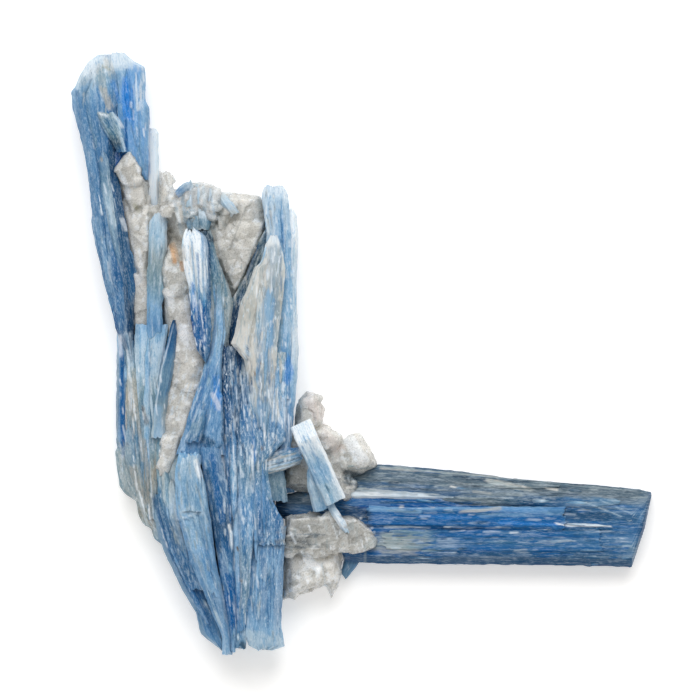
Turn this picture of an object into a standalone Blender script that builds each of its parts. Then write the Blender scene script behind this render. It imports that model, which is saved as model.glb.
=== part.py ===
"""Kyanite specimen lying on its back: a bundle of grown-together blue blades, a large side blade, a small
leaning prism, and the milky quartz that holds them.

Outlines are read on a square plan in millimetres, x to the right and y down from the plan's upper left
corner. Heights are millimetres above the surface that the specimen lies on.
"""

import math
import random

import bmesh
import bpy
from mathutils import Vector

MM = 0.001
PLAN_MIDDLE = (72.3, 70.65)  # the point of the plan that becomes the origin
CLEARANCE = 0.3  # left between neighbouring pieces
WELD = 0.01  # corners closer than this are one corner
UNEVEN = 0.02  # how far each blade is moved at random, so that no two faces share a plane
REST = 0.0  # height of the faces that the specimen lies on
BACK_TOP = 9.0  # height of the blades at the back of the bundle
FRONT_BED = 9.5  # underside of the blades at the front of the bundle
SIDE_TOP = 9.0  # height of the side blade's highest plate
SMALL_EDGE = (0.5, 0.6)  # width and drop of a plain bevelled edge
PLAIN_EDGES = (SMALL_EDGE, SMALL_EDGE)
RIDGE_TAPER = 0.3  # share of its first and last stretch over which a ridge narrows
RIDGE_DROP = 0.5  # how much lower its tips are


def blade(rows, bed=0.0, edges=PLAIN_EDGES, lean=0.0, back=0.0, across=False, turn=None):
    """One crystal blade. Each row is (place along, one side, other side, height), and may end with its own
    bed height. It runs down the plan, or to the right if across, or in its own direction if turn gives a
    pivot on the plan and an angle. edges are the bevels (width, drop) of its two sides, lean raises the
    second side above the first, bed is the height of its underside and back the bevel there."""
    return {"rows": rows, "bed": bed, "edges": edges, "lean": lean, "back": back, "across": across,
            "turn": turn}


def narrowed(row, following):
    """The two rows with which a ridge begins at the first of these rows: its tip, then its full width."""
    place, one, other, height = row
    tip = (place, one * 0.7 + other * 0.3, one * 0.3 + other * 0.7, height - RIDGE_DROP)
    return tip, tuple(value + (goal - value) * RIDGE_TAPER for value, goal in zip(row, following))


def ridge(rows, bed, across=False):
    """A low blade that stands on another and narrows to a blunt tip at both ends."""
    first_tip, first = narrowed(rows[0], rows[1])
    last_tip, last = narrowed(rows[-1], rows[-2])
    return blade([first_tip, first, *rows[1:-1], last, last_tip], bed, across=across)


# Blades at the back of the bundle, which it lies on.
BACK = [
    blade([(42.0, 33.0, 44.5, 7.5), (46.0, 32.4, 46.0, 8.5), (70.0, 32.6, 47.0, BACK_TOP),
           (96.0, 34.0, 48.0, BACK_TOP), (118.0, 41.0, 48.6, 8.0), (127.0, 43.6, 48.0, 6.5)],
          1.2, back=1.4),
    blade([(40.6, 45.5, 53.0, 6.5), (46.0, 45.2, 57.6, 7.5), (72.0, 45.5, 58.6, BACK_TOP),
           (96.0, 47.0, 55.0, BACK_TOP), (122.0, 48.0, 55.6, 8.0), (127.6, 48.4, 55.2, 6.5)],
          1.6, back=1.5),
    blade([(63.0, 24.6, 33.4, 7.0), (76.0, 23.9, 34.6, 8.5), (91.0, 24.2, 36.0, BACK_TOP),
           (97.0, 26.4, 37.6, 8.5), (104.0, 30.4, 38.0, 7.5), (110.0, 34.0, 40.6, 6.5)],
          0.8, back=1.2),
    blade([(48.0, 38.6, 42.0, 2.6), (74.0, 39.0, 45.2, 2.6), (104.0, 41.4, 46.6, 2.6),
           (112.0, 43.6, 45.6, 2.6)], REST, back=0.5),
    blade([(58.0, 50.4, 54.6, 3.0), (86.0, 49.6, 55.0, 3.0), (108.0, 50.6, 53.4, 3.0)], REST, back=0.5),
    blade([(70.0, 27.6, 30.6, 2.4), (84.0, 27.0, 32.2, 2.4), (95.0, 29.6, 31.4, 2.4)], REST, back=0.4),
]

# The tall blade at the upper left, and the crystals that share its upper end.
TALL = [
    blade([(11.0, 19.6, 22.4, 8.6), (12.4, 17.8, 23.8, 10.2), (15.0, 16.2, 24.6, 11.6),
           (17.4, 15.2, 24.8, 12.2), (18.6, 14.4, 24.8, 12.4), (22.0, 14.7, 24.6, 12.6),
           (29.0, 16.6, 24.0, 12.8), (33.6, 17.6, 23.4, 13.0), (37.6, 18.0, 24.3, 13.0),
           (43.2, 18.6, 25.0, 13.0), (44.2, 18.3, 25.4, 13.0), (49.4, 19.3, 26.2, 13.0),
           (56.0, 20.9, 28.0, 13.0), (58.8, 21.6, 28.3, 12.8), (61.4, 22.3, 27.4, 12.6),
           (66.0, 23.4, 26.9, 12.2), (74.6, 26.6, 27.4, 11.4)],
          1.4, edges=((1.5, 2.6), (2.2, 2.0)), lean=-0.8, back=1.5),
    blade([(10.5, 22.4, 25.0, 8.0), (12.2, 21.8, 26.8, 9.6), (13.4, 21.6, 29.0, 10.4),
           (20.2, 22.4, 29.2, 11.2), (21.6, 23.0, 30.0, 11.4), (30.0, 24.6, 30.0, 11.4),
           (33.2, 26.4, 29.9, 11.0), (36.2, 29.0, 29.8, 10.4)],
          2.6, edges=((0.5, 0.8), (1.0, 2.0)), lean=0.6, back=1.0),
    ridge([(14.0, 16.8, 19.2, 12.7), (20.0, 15.4, 17.4, 13.4), (34.0, 18.6, 20.2, 13.7),
           (52.0, 20.6, 22.2, 13.6), (60.0, 22.6, 24.0, 13.2)], 9.0),
    ridge([(30.0, 19.6, 21.8, 13.9), (37.0, 20.4, 22.4, 14.1), (46.0, 22.0, 23.6, 13.9),
           (57.0, 24.6, 26.0, 13.4), (65.0, 25.2, 26.2, 12.8)], 9.0),
    ridge([(13.6, 24.8, 26.0, 11.4), (22.8, 25.0, 26.6, 12.2)], 7.0),
    ridge([(14.4, 26.6, 28.4, 11.6), (26.0, 26.4, 28.2, 12.2), (31.0, 27.2, 28.6, 11.8)], 7.0),
    blade([(22.6, 19.8, 22.2, 13.6), (24.4, 20.2, 24.0, 14.9), (28.0, 22.2, 24.8, 15.0),
           (31.2, 23.7, 25.1, 14.2)], 9.0, lean=0.4),
    blade([(25.7, 30.0, 31.2, 6.0), (26.6, 29.4, 31.8, 6.8), (34.0, 29.4, 31.8, 7.2),
           (43.0, 29.4, 32.2, 7.2), (54.0, 29.8, 33.0, 7.0)], 3.0),
]

# The left side of the bundle, from the grey-green blade down to the rough flank.
LEFT = [
    blade([(42.6, 31.2, 33.0, 12.0), (44.4, 30.0, 33.8, 12.9), (50.0, 29.9, 33.5, 13.6),
           (55.0, 29.5, 32.8, 13.8), (58.0, 29.5, 33.4, 13.8), (61.0, 29.5, 32.6, 13.8),
           (70.0, 29.4, 33.0, 13.4)], 10.4, lean=-0.5),
    blade([(64.6, 27.2, 33.8, 13.0), (70.0, 27.0, 33.2, 14.0), (76.0, 27.4, 32.2, 14.4),
           (88.0, 28.4, 33.2, 14.2), (96.0, 28.6, 32.0, 13.6), (104.0, 29.4, 31.4, 12.4)],
          FRONT_BED - 3.0, edges=((1.0, 1.4), SMALL_EDGE)),
    ridge([(67.0, 29.0, 30.6, 14.6), (80.0, 28.8, 30.4, 15.1), (99.0, 29.2, 30.4, 14.1)], 9.0),
    blade([(64.0, 34.8, 35.3, 15.4), (66.2, 34.0, 35.6, 16.0), (72.0, 32.8, 35.2, 16.4),
           (75.4, 32.0, 34.6, 16.4), (80.0, 31.2, 33.7, 16.2), (87.6, 30.4, 33.2, 15.4)],
          FRONT_BED, lean=-0.9),
    blade([(62.0, 23.8, 26.4, 8.6), (68.0, 23.5, 26.6, 9.8), (80.0, 23.3, 26.6, 11.0),
           (88.0, 23.3, 26.6, 11.4), (92.6, 23.2, 25.6, 11.0)], 1.5,
          edges=((0.8, 2.0), SMALL_EDGE), back=0.8),
    blade([(68.0, 25.0, 28.2, 10.8), (76.0, 25.2, 28.8, 12.4), (92.0, 25.2, 30.0, 13.2),
           (100.0, 27.8, 31.0, 12.4), (105.2, 29.4, 31.6, 11.0)], 5.0),
    blade([(86.6, 23.6, 29.0, 11.2), (91.0, 23.2, 30.0, 12.0), (97.2, 24.0, 31.0, 12.2),
           (98.6, 25.0, 31.4, 12.2), (100.2, 27.4, 31.6, 12.2), (102.4, 27.7, 32.4, 12.0),
           (104.8, 28.8, 33.0, 11.8), (105.6, 30.3, 33.4, 11.6), (107.8, 31.0, 34.0, 11.2),
           (109.4, 32.8, 34.6, 10.6)], 3.0, edges=((1.6, 2.4), SMALL_EDGE), back=1.0),
    ridge([(80.0, 26.6, 27.6, 13.2), (94.0, 27.4, 28.4, 14.0), (101.0, 28.8, 29.6, 13.2)], 9.0),
    blade([(86.0, 31.2, 36.4, 14.4), (94.0, 31.4, 36.4, 15.6), (102.0, 32.0, 36.8, 16.6),
           (110.0, 34.4, 38.4, 17.4), (118.0, 38.0, 41.4, 16.8)], 7.0, lean=0.8),
    ridge([(88.0, 33.0, 34.2, 15.8), (95.0, 32.6, 34.0, 16.7), (102.6, 33.0, 35.4, 17.4)], 12.0),
    ridge([(95.6, 33.6, 35.8, 17.6), (103.6, 34.2, 36.4, 18.4), (112.0, 36.8, 38.6, 18.4)], 12.0),
    blade([(98.6, 30.6, 32.6, 14.4), (104.0, 31.0, 35.4, 15.4), (109.4, 32.6, 37.6, 15.6),
           (116.6, 36.0, 40.4, 15.2), (122.6, 39.4, 43.6, 14.6), (126.6, 40.2, 45.0, 13.4),
           (130.2, 44.2, 45.4, 12.4)], 4.0, edges=((1.0, 2.4), SMALL_EDGE), lean=0.8, back=1.0),
    ridge([(104.0, 32.6, 34.0, 16.5), (116.0, 37.0, 38.4, 16.5), (125.0, 41.2, 42.6, 15.4)], 11.0),
]

# The middle of the bundle.
MIDDLE = [
    blade([(45.8, 37.6, 38.6, 18.2), (47.4, 36.8, 40.4, 19.4), (50.0, 36.5, 42.0, 20.0),
           (53.6, 36.9, 42.2, 20.2), (57.6, 38.0, 42.3, 20.2), (66.0, 38.6, 42.4, 19.8),
           (70.0, 39.6, 42.2, 19.4), (72.5, 41.1, 41.5, 18.8)],
          13.0, edges=((1.0, 0.9), (0.7, 0.9)), lean=-0.5),
    ridge([(48.6, 38.2, 39.2, 20.7), (66.0, 39.8, 40.8, 20.4)], 15.0),
    blade([(46.0, 40.2, 42.3, 15.2), (51.0, 41.0, 43.4, 16.0), (54.0, 41.2, 44.6, 16.4),
           (60.0, 41.6, 46.8, 16.6), (69.0, 41.6, 45.8, 16.6), (76.0, 42.0, 45.0, 15.8)],
          FRONT_BED - 0.5, lean=-0.8),
    blade([(56.6, 42.8, 44.8, 16.9), (66.0, 42.4, 45.2, 17.8), (70.0, 42.0, 44.6, 18.4),
           (74.0, 40.8, 44.4, 18.9), (80.0, 38.8, 44.5, 19.2), (86.0, 37.0, 44.8, 19.2),
           (91.0, 35.4, 45.2, 18.6)], FRONT_BED, edges=((1.4, 1.4), (0.4, 0.8)), lean=0.4),
    ridge([(77.0, 42.4, 44.6, 19.9), (84.0, 41.6, 44.9, 20.3), (90.6, 40.2, 44.8, 20.0)], 13.0),
    blade([(81.6, 39.4, 41.6, 19.9), (88.6, 37.2, 40.4, 20.1)], 13.0, lean=0.5),
    blade([(45.4, 53.2, 54.2, 14.2), (48.0, 51.8, 54.2, 14.8), (52.0, 50.4, 53.0, 14.8),
           (56.0, 48.8, 51.0, 14.6), (60.0, 46.4, 49.4, 14.6), (64.0, 45.4, 48.6, 14.6),
           (71.0, 44.6, 47.4, 14.6)], FRONT_BED - 1.0, lean=-1.2),
    blade([(69.0, 44.4, 48.2, 16.8), (72.0, 44.4, 50.4, 17.6), (80.0, 44.6, 50.8, 18.2),
           (92.0, 45.0, 51.4, 18.6), (104.0, 46.0, 50.4, 18.4)], FRONT_BED - 2.0),
    ridge([(70.4, 46.8, 47.8, 18.5), (84.0, 47.0, 48.2, 19.3), (91.0, 47.6, 48.4, 19.4)], 13.0),
    blade([(80.6, 47.8, 50.6, 18.8), (92.0, 47.6, 51.2, 20.0), (104.0, 47.8, 51.0, 20.4),
           (118.0, 48.2, 50.0, 18.8), (126.0, 47.8, 49.0, 16.8)], 11.0, lean=0.3),
    ridge([(84.0, 46.0, 47.4, 19.7), (97.0, 46.2, 47.6, 20.1), (104.4, 46.2, 47.6, 19.9)], 13.0),
    ridge([(104.6, 45.8, 46.7, 20.2), (110.4, 46.1, 46.8, 20.0)], 15.0),
    blade([(100.0, 46.4, 50.4, 19.2), (110.0, 46.6, 50.4, 19.2), (120.0, 47.2, 50.0, 18.0),
           (129.6, 47.2, 48.4, 15.4)], 9.0),
    blade([(90.0, 36.2, 40.6, 21.6), (93.0, 35.4, 40.4, 22.6), (96.0, 35.2, 41.2, 23.2),
           (102.6, 35.6, 42.2, 22.8), (112.0, 38.2, 43.4, 21.8), (120.0, 41.6, 45.2, 19.8),
           (127.0, 44.6, 46.4, 17.4), (130.8, 44.6, 46.6, 15.4)],
          10.0, edges=((1.4, 1.6), (0.8, 2.6)), lean=0.5),
    ridge([(90.6, 37.0, 39.0, 22.7), (96.0, 36.4, 39.4, 24.0), (102.0, 36.6, 39.0, 24.0)], 16.0),
    ridge([(103.2, 37.4, 39.6, 23.5), (110.0, 38.6, 40.6, 23.2), (119.0, 42.0, 43.4, 21.2)], 16.0),
    ridge([(94.4, 40.2, 41.0, 23.7), (106.0, 41.0, 42.0, 23.4), (114.0, 42.6, 43.6, 22.2)], 16.0),
    blade([(89.0, 40.2, 44.2, 19.6), (92.0, 40.4, 44.6, 20.2), (100.0, 41.8, 46.6, 20.0),
           (108.0, 43.2, 46.6, 19.6), (116.0, 44.4, 47.2, 18.6), (126.0, 46.0, 47.6, 16.6),
           (130.4, 46.2, 47.2, 15.2)], 10.0, edges=(SMALL_EDGE, (0.4, 0.6)), lean=-0.4),
]

# The right side of the bundle.
RIGHT = [
    blade([(37.1, 52.9, 56.6, 15.0), (38.2, 52.5, 57.4, 16.2), (40.0, 52.4, 57.8, 17.0),
           (46.4, 53.3, 58.2, 17.2), (60.0, 54.0, 58.6, 17.4), (80.0, 54.0, 58.2, 17.8)],
          6.0, edges=(SMALL_EDGE, (0.8, 1.0)), back=1.0),
    ridge([(39.6, 55.8, 57.0, 17.8), (52.0, 56.6, 57.6, 18.0)], 12.0),
    blade([(41.6, 57.8, 58.8, 13.8), (42.8, 57.4, 59.4, 14.8), (48.0, 57.2, 59.8, 15.6),
           (56.0, 57.0, 59.4, 16.0), (66.0, 57.0, 59.6, 16.4), (69.4, 57.0, 59.8, 16.6),
           (76.0, 56.8, 59.4, 17.0), (84.0, 56.4, 58.7, 16.6), (90.0, 55.6, 58.2, 15.6)],
          4.0, edges=(SMALL_EDGE, (0.6, 1.6)), back=1.0),
    blade([(47.1, 54.2, 55.6, 18.8), (49.0, 53.2, 56.4, 20.0), (52.6, 52.2, 57.0, 20.6),
           (53.7, 50.8, 57.2, 20.8), (58.0, 49.4, 56.9, 21.0), (60.4, 48.3, 56.6, 21.0),
           (66.0, 47.2, 55.9, 21.0), (68.7, 46.3, 55.6, 21.0), (72.0, 49.0, 55.4, 20.8),
           (80.0, 50.4, 54.8, 20.4), (86.0, 51.4, 54.0, 20.0)],
          12.0, edges=((0.9, 1.2), (0.8, 1.2)), lean=-0.4),
    ridge([(55.0, 51.4, 53.2, 21.6), (71.0, 50.8, 52.6, 21.6)], 15.0),
    ridge([(62.0, 53.2, 54.6, 21.4), (79.0, 52.4, 53.6, 21.2)], 15.0),
    blade([(70.0, 49.8, 57.2, 18.6), (80.0, 49.8, 57.4, 19.4), (88.0, 50.2, 57.0, 19.4),
           (92.0, 50.0, 53.4, 19.6), (100.0, 49.8, 54.6, 19.4), (104.0, 49.8, 56.2, 18.8),
           (109.0, 49.8, 57.2, 17.8)], 5.0),
    ridge([(74.4, 53.4, 54.4, 20.6), (89.0, 52.4, 53.4, 20.6)], 14.0),
    ridge([(76.0, 55.0, 56.2, 19.8), (87.0, 54.6, 55.8, 19.9)], 14.0),
    ridge([(92.0, 52.0, 53.2, 20.4), (107.0, 52.4, 53.6, 20.0)], 14.0),
    ridge([(98.0, 50.4, 51.4, 20.3), (112.0, 50.8, 51.8, 19.3)], 13.0),
    blade([(105.0, 50.0, 57.3, 16.8), (112.0, 50.0, 56.8, 17.0), (120.0, 49.4, 56.6, 16.8),
           (124.4, 49.2, 56.2, 16.2), (127.0, 49.0, 56.6, 15.6), (129.2, 49.8, 57.0, 14.8),
           (130.0, 51.4, 54.6, 14.0)], 5.5, edges=((0.8, 1.4), (0.6, 1.0)), back=1.0),
    ridge([(108.4, 51.2, 52.4, 17.9), (123.0, 50.6, 51.8, 17.2)], 13.0),
    ridge([(110.0, 54.0, 55.2, 17.6), (121.0, 54.0, 55.0, 17.5)], 13.0),
]

# The short crystal that grows sideways out of the bundle's right side, and the pale face under it.
STUB = [
    blade([(50.6, 90.8, 94.4, 18.4), (54.0, 90.2, 94.6, 17.8), (57.0, 89.4, 93.8, 16.6),
           (60.6, 89.4, 92.6, 15.0)], 9.0, across=True, lean=-1.0),
    blade([(92.6, 52.6, 56.4, 14.6), (96.0, 53.4, 57.2, 14.0), (100.4, 54.0, 57.6, 13.0)], 5.0, lean=-1.6),
]

# The side blade: a thick body under a stack of cleavage plates, and the stub below its left end.
SIDE = [
    blade([(55.0, 99.4, 102.8, 6.6), (66.0, 96.6, 107.0, 7.4), (69.4, 93.9, 111.0, 8.0),
           (75.8, 92.8, 112.6, 8.2), (90.0, 94.0, 112.8, 8.2), (104.0, 95.8, 112.9, 8.2),
           (120.0, 97.0, 113.2, 8.2), (125.8, 97.8, 113.4, 8.0), (129.0, 98.3, 107.6, 7.8),
           (130.2, 98.8, 99.8, 7.0)],
          REST, edges=((4.2, 2.6), (1.6, 2.2)), lean=0.6, back=1.0, across=True),
    ridge([(68.4, 97.6, 99.6, 8.5), (76.0, 98.0, 99.4, 8.9), (91.2, 99.2, 99.8, 8.7)], 5.0, across=True),
    blade([(73.0, 101.0, 105.2, SIDE_TOP), (84.0, 101.4, 105.4, 9.3), (100.0, 101.2, 105.8, 9.3),
           (113.2, 101.2, 106.6, SIDE_TOP)], 5.0, across=True),
    blade([(76.4, 105.8, 110.4, 8.6), (96.0, 105.6, 110.6, 8.9), (121.0, 105.4, 110.8, 8.7)],
          4.0, edges=(SMALL_EDGE, (0.8, 0.8)), across=True),
    ridge([(88.0, 98.6, 101.0, 8.9), (104.0, 99.4, 101.2, 9.1), (124.0, 99.0, 102.0, 8.6)],
          5.0, across=True),
    ridge([(112.6, 104.4, 105.0, 9.2), (122.4, 104.8, 105.6, 8.9)], 5.0, across=True),
    ridge([(70.0, 94.2, 96.0, 6.7), (98.0, 96.6, 98.0, 7.2), (112.0, 96.6, 98.0, 7.0)],
          3.0, across=True),
    blade([(108.0, 70.2, 74.8, 5.0), (112.4, 68.6, 71.9, 4.8), (114.6, 68.0, 70.3, 4.4),
           (116.0, 69.0, 69.3, 4.0)], 1.2),
]

# The small leaning prism, with the facet at its raised end, and the chip beside its foot.
PRISM = [
    blade([(0.0, -2.1, 2.3, 17.6, 16.4), (3.5, -2.2, 2.2, 20.2, 15.8), (17.4, -2.1, 2.1, 15.2, 10.8)],
          edges=((0.3, 0.4), (0.7, 0.5)), turn=((60.0, 84.6), 24.9)),
    blade([(0.0, -1.0, 0.6, 15.6, 12.6), (4.0, -1.7, 1.4, 15.0, 11.4), (9.2, -1.4, 1.8, 12.6, 9.6)],
          turn=((62.3, 93.2), 12.0)),
]


def rock(outline, low, high, seed, crown=0.62):
    """One faceted lump: its convex outline on the plan, its lowest and highest point, and how much smaller
    its crown and its foot are than its girth."""
    return {"outline": outline, "low": low, "high": high, "seed": seed, "crown": crown}


# The quartz between the blades of the bundle.
VEIN = [
    rock([(23.4, 33.4), (25.4, 31.0), (26.5, 30.3), (28.4, 33.8), (29.9, 36.4), (30.3, 42.0), (26.4, 46.0),
          (24.0, 40.0)], 3.4, 11.6, 1),
    rock([(24.6, 40.0), (30.4, 39.0), (30.8, 48.0), (30.0, 57.0), (28.6, 60.0), (26.4, 54.0)], 4.0, 12.4, 2),
    rock([(27.2, 55.0), (30.6, 55.0), (30.8, 66.0), (28.0, 66.4)], 6.0, 12.2, 3),
    rock([(28.4, 41.0), (36.0, 41.0), (36.6, 62.0), (29.2, 62.0)], 7.6, 10.2, 4, crown=0.9),
    rock([(31.9, 34.2), (32.6, 34.5), (33.6, 37.6), (34.6, 39.0), (38.4, 43.0), (35.0, 47.0), (31.6, 44.0)],
         4.4, 12.2, 5),
    rock([(33.0, 39.0), (40.0, 38.0), (47.2, 39.3), (52.2, 39.2), (53.8, 43.0), (53.4, 46.6), (50.4, 50.4),
          (46.0, 53.6), (38.0, 52.0), (34.0, 47.6)], 7.0, 14.4, 6, crown=0.8),
    rock([(34.8, 38.0), (37.4, 36.8), (41.0, 36.6), (42.9, 36.9), (44.4, 39.0), (46.4, 43.2), (43.4, 46.6),
          (38.0, 46.8), (35.4, 43.6)], 8.0, 15.4, 7, crown=0.8),
    rock([(42.0, 44.6), (48.0, 42.0), (53.6, 43.6), (52.6, 48.4), (50.2, 53.0), (48.0, 58.6), (46.8, 60.2),
          (44.6, 57.0), (42.6, 51.0)], 7.0, 16.0, 8, crown=0.75),
    rock([(32.4, 51.6), (34.6, 47.6), (37.4, 48.0), (38.6, 54.0), (39.0, 58.0), (37.4, 61.0), (33.4, 61.0),
          (32.2, 56.0)], 7.0, 15.4, 9, crown=0.72),
    rock([(32.8, 58.6), (38.4, 57.6), (39.4, 65.0), (39.0, 70.0), (35.0, 70.0), (33.0, 64.0)], 7.0, 14.9, 10,
         crown=0.8),
    rock([(34.6, 65.0), (39.4, 64.0), (41.6, 73.0), (40.8, 78.6), (33.4, 79.0), (33.8, 72.0)], 7.0, 15.3, 11,
         crown=0.8),
    rock([(32.8, 76.0), (40.8, 75.6), (39.0, 82.0), (37.0, 88.6), (32.4, 88.6), (32.6, 82.0)], 8.6, 15.4, 12,
         crown=0.8),
    rock([(32.4, 86.0), (36.6, 86.0), (36.0, 91.0), (33.8, 95.6), (31.6, 96.4), (31.8, 91.0)], 10.6, 16.4, 13,
         crown=0.75),
]

# Pale splinters of kyanite set in the quartz at the broken upper edge.
SPLINTERS = [
    blade([(37.3, 35.8, 37.0, 13.2), (39.8, 35.0, 36.6, 13.8), (43.0, 35.4, 36.4, 13.8)], FRONT_BED),
    blade([(36.2, 38.0, 38.8, 14.8), (38.0, 37.0, 38.9, 15.6), (43.4, 37.0, 38.8, 15.8)], FRONT_BED),
    blade([(36.5, 39.2, 40.4, 14.6), (38.0, 39.1, 40.8, 15.6), (42.6, 39.4, 41.0, 16.0)], FRONT_BED),
    blade([(36.8, 42.0, 43.0, 14.8), (38.4, 41.4, 43.8, 15.8), (42.4, 41.4, 43.2, 16.0)], FRONT_BED),
    blade([(0.0, -0.8, 0.9, 15.2), (2.6, -1.0, 1.0, 16.6), (5.6, -0.9, 0.9, 16.2)],
          FRONT_BED, turn=((44.0, 38.8), 37.0)),
]

# The knobs of quartz above the side blade.
UPPER_KNOBS = [
    rock([(59.2, 80.8), (60.2, 79.6), (61.4, 78.0), (62.6, 78.4), (63.8, 80.0), (65.1, 81.8), (65.0, 83.2),
          (64.2, 85.2), (61.8, 87.6), (58.8, 86.0)], 5.0, 13.2, 21),
    rock([(62.4, 85.6), (64.4, 84.8), (65.8, 85.9), (68.4, 87.0), (68.6, 88.3), (66.8, 91.4), (63.0, 91.4)],
         3.6, 12.6, 22),
    rock([(65.0, 90.4), (68.6, 88.0), (70.2, 86.6), (71.9, 86.6), (73.3, 88.4), (74.4, 89.9), (74.0, 91.6),
          (75.6, 93.0), (72.0, 95.0), (67.0, 95.6)], 1.0, 11.4, 23),
    rock([(57.6, 86.0), (62.0, 85.0), (66.0, 88.6), (70.0, 92.0), (69.6, 97.6), (62.0, 98.6), (56.8, 97.6)],
         0.8, 10.4, 24, crown=0.75),
    rock([(67.6, 94.0), (70.4, 94.4), (70.2, 99.6), (68.0, 99.6)], 5.0, 10.2, 25),
]

# The crust and points of quartz in front of the joint.
LOWER_CRUST = [
    rock([(57.0, 103.2), (61.8, 102.2), (67.0, 102.6), (70.0, 103.6), (70.4, 110.0), (64.0, 111.6),
          (56.6, 111.0)], 2.0, 12.4, 31, crown=0.8),
    rock([(66.4, 102.9), (70.8, 103.2), (72.2, 104.0), (73.6, 105.4), (74.9, 106.5), (75.6, 108.2),
          (75.0, 109.5), (72.4, 109.8), (70.6, 110.7), (66.0, 110.0)], 7.0, 11.2, 32, crown=0.85),
    rock([(56.0, 109.0), (62.0, 108.0), (68.5, 109.8), (68.3, 112.6), (67.4, 116.4), (63.2, 117.2),
          (60.4, 118.6), (56.0, 120.2)], 1.8, 10.2, 33, crown=0.75),
    rock([(64.6, 112.0), (68.2, 111.6), (68.0, 115.6), (67.6, 117.2), (66.2, 119.5), (65.4, 117.4)],
         3.0, 8.8, 34),
    rock([(57.2, 106.8), (61.6, 106.8), (61.6, 109.8), (57.2, 109.8)], 8.0, 12.9, 35, crown=0.9),
]

COLOURS = {
    "kyanite_bundle": (0.09, 0.20, 0.42),
    "kyanite_side_blade": (0.05, 0.14, 0.34),
    "kyanite_small_prism": (0.36, 0.50, 0.66),
    "quartz": (0.62, 0.60, 0.56),
}


def placed(spec, along, side, height):
    """A plan position of one blade, and a height, as a point in metres."""
    if spec["turn"]:
        (pivot_x, pivot_y), angle = spec["turn"]
        cosine, sine = math.cos(math.radians(angle)), math.sin(math.radians(angle))
        x = pivot_x + side * cosine + along * sine
        y = pivot_y - side * sine + along * cosine
    elif spec["across"]:
        x, y = along, side
    else:
        x, y = side, along
    return Vector(((x - PLAN_MIDDLE[0]) * MM, (PLAN_MIDDLE[1] - y) * MM, height * MM))


def section(spec, row, grow):
    """The corners of one cross-section of a blade, as (side, height) pairs."""
    _, a, b, top, *own_bed = row
    bed = own_bed[0] if own_bed else spec["bed"]
    a, b, top, bed = a - grow, b + grow, top + grow, bed - grow
    half_lean = spec["lean"] / 2
    widest = (b - a) * 0.36
    deepest = (top - bed) * 0.45
    (wide_a, drop_a), (wide_b, drop_b) = spec["edges"]
    wide_a, wide_b = min(wide_a, widest), min(wide_b, widest)
    drop_a, drop_b = min(drop_a, deepest), min(drop_b, deepest)
    back = min(spec["back"], widest, deepest)
    corners = [(a, top - half_lean - drop_a), (a + wide_a, top - half_lean),
               (b - wide_b, top + half_lean), (b, top + half_lean - drop_b)]
    if back:
        return corners + [(b, bed + back), (b - back, bed), (a + back, bed), (a, bed + back)]
    return corners + [(b, bed), (a, bed)]


def uneven(spec):
    """The same blade, moved by a hair along, across and up. A face that the specimen rests on stays."""
    chance = random.Random(str(spec["rows"]))
    along, side, up = (chance.uniform(-UNEVEN, UNEVEN) for _ in range(3))
    rows = [(row[0] + along, row[1] + side, row[2] + side, *(height + up for height in row[3:]))
            for row in spec["rows"]]
    return {**spec, "rows": rows, "bed": spec["bed"] + up if spec["bed"] > REST else REST}


def blade_object(name, spec, grow=0.0):
    """A blade as a closed mesh: a loft through its cross-sections, larger by grow on every side."""
    spec = uneven(spec)
    rows = spec["rows"]
    rows[0] = (rows[0][0] - grow, *rows[0][1:])
    rows[-1] = (rows[-1][0] + grow, *rows[-1][1:])
    shape = bmesh.new()
    rings = [[shape.verts.new(placed(spec, row[0], side, height)) for side, height in section(spec, row, grow)]
             for row in rows]
    for ring, following in zip(rings, rings[1:]):
        for i in range(len(ring)):
            j = (i + 1) % len(ring)
            shape.faces.new((ring[i], ring[j], following[j], following[i]))
    shape.faces.new(rings[0])
    shape.faces.new(reversed(rings[-1]))
    return closed_object(name, shape)


def rock_object(name, spec):
    """A lump as a closed mesh: the hull of its girth and of its smaller, uneven crown and foot."""
    chance = random.Random(spec["seed"])
    outline, low, high = spec["outline"], spec["low"], spec["high"]
    middle_x = sum(x for x, _ in outline) / len(outline)
    middle_y = sum(y for _, y in outline) / len(outline)
    shape = bmesh.new()
    for x, y in outline:
        girth = low + (high - low) * chance.uniform(0.35, 0.6)
        for height, share in ((girth, 1.0), (high - (high - low) * chance.uniform(0.0, 0.16), None),
                              (low + (high - low) * chance.uniform(0.0, 0.16), None)):
            share = share or spec["crown"] * chance.uniform(0.85, 1.12)
            corner = (middle_x + (x - middle_x) * share - PLAN_MIDDLE[0],
                      PLAN_MIDDLE[1] - middle_y - (y - middle_y) * share, height)
            shape.verts.new(Vector(corner) * MM)
    hull = bmesh.ops.convex_hull(shape, input=shape.verts)
    inside = [item for item in hull["geom_interior"] + hull["geom_unused"] if isinstance(item, bmesh.types.BMVert)]
    bmesh.ops.delete(shape, geom=list(set(inside)), context="VERTS")
    return closed_object(name, shape)


def closed_object(name, shape):
    """A new object from a closed bmesh, triangulated with its faces pointing out."""
    bmesh.ops.recalc_face_normals(shape, faces=shape.faces)
    bmesh.ops.triangulate(shape, faces=shape.faces)
    mesh = bpy.data.meshes.new(name)
    shape.to_mesh(mesh)
    shape.free()
    made = bpy.data.objects.new(name, mesh)
    bpy.context.scene.collection.objects.link(made)
    return made


def combined(base, others, operation):
    """base after a Boolean with each of the others, which are used up."""
    for other in others:
        modifier = base.modifiers.new("combine", "BOOLEAN")
        modifier.operation = operation
        modifier.object = other
    mesh = bpy.data.meshes.new_from_object(base.evaluated_get(bpy.context.evaluated_depsgraph_get()))
    base.modifiers.clear()
    base.data = mesh
    for other in others:
        bpy.data.objects.remove(other)
    return base


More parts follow.
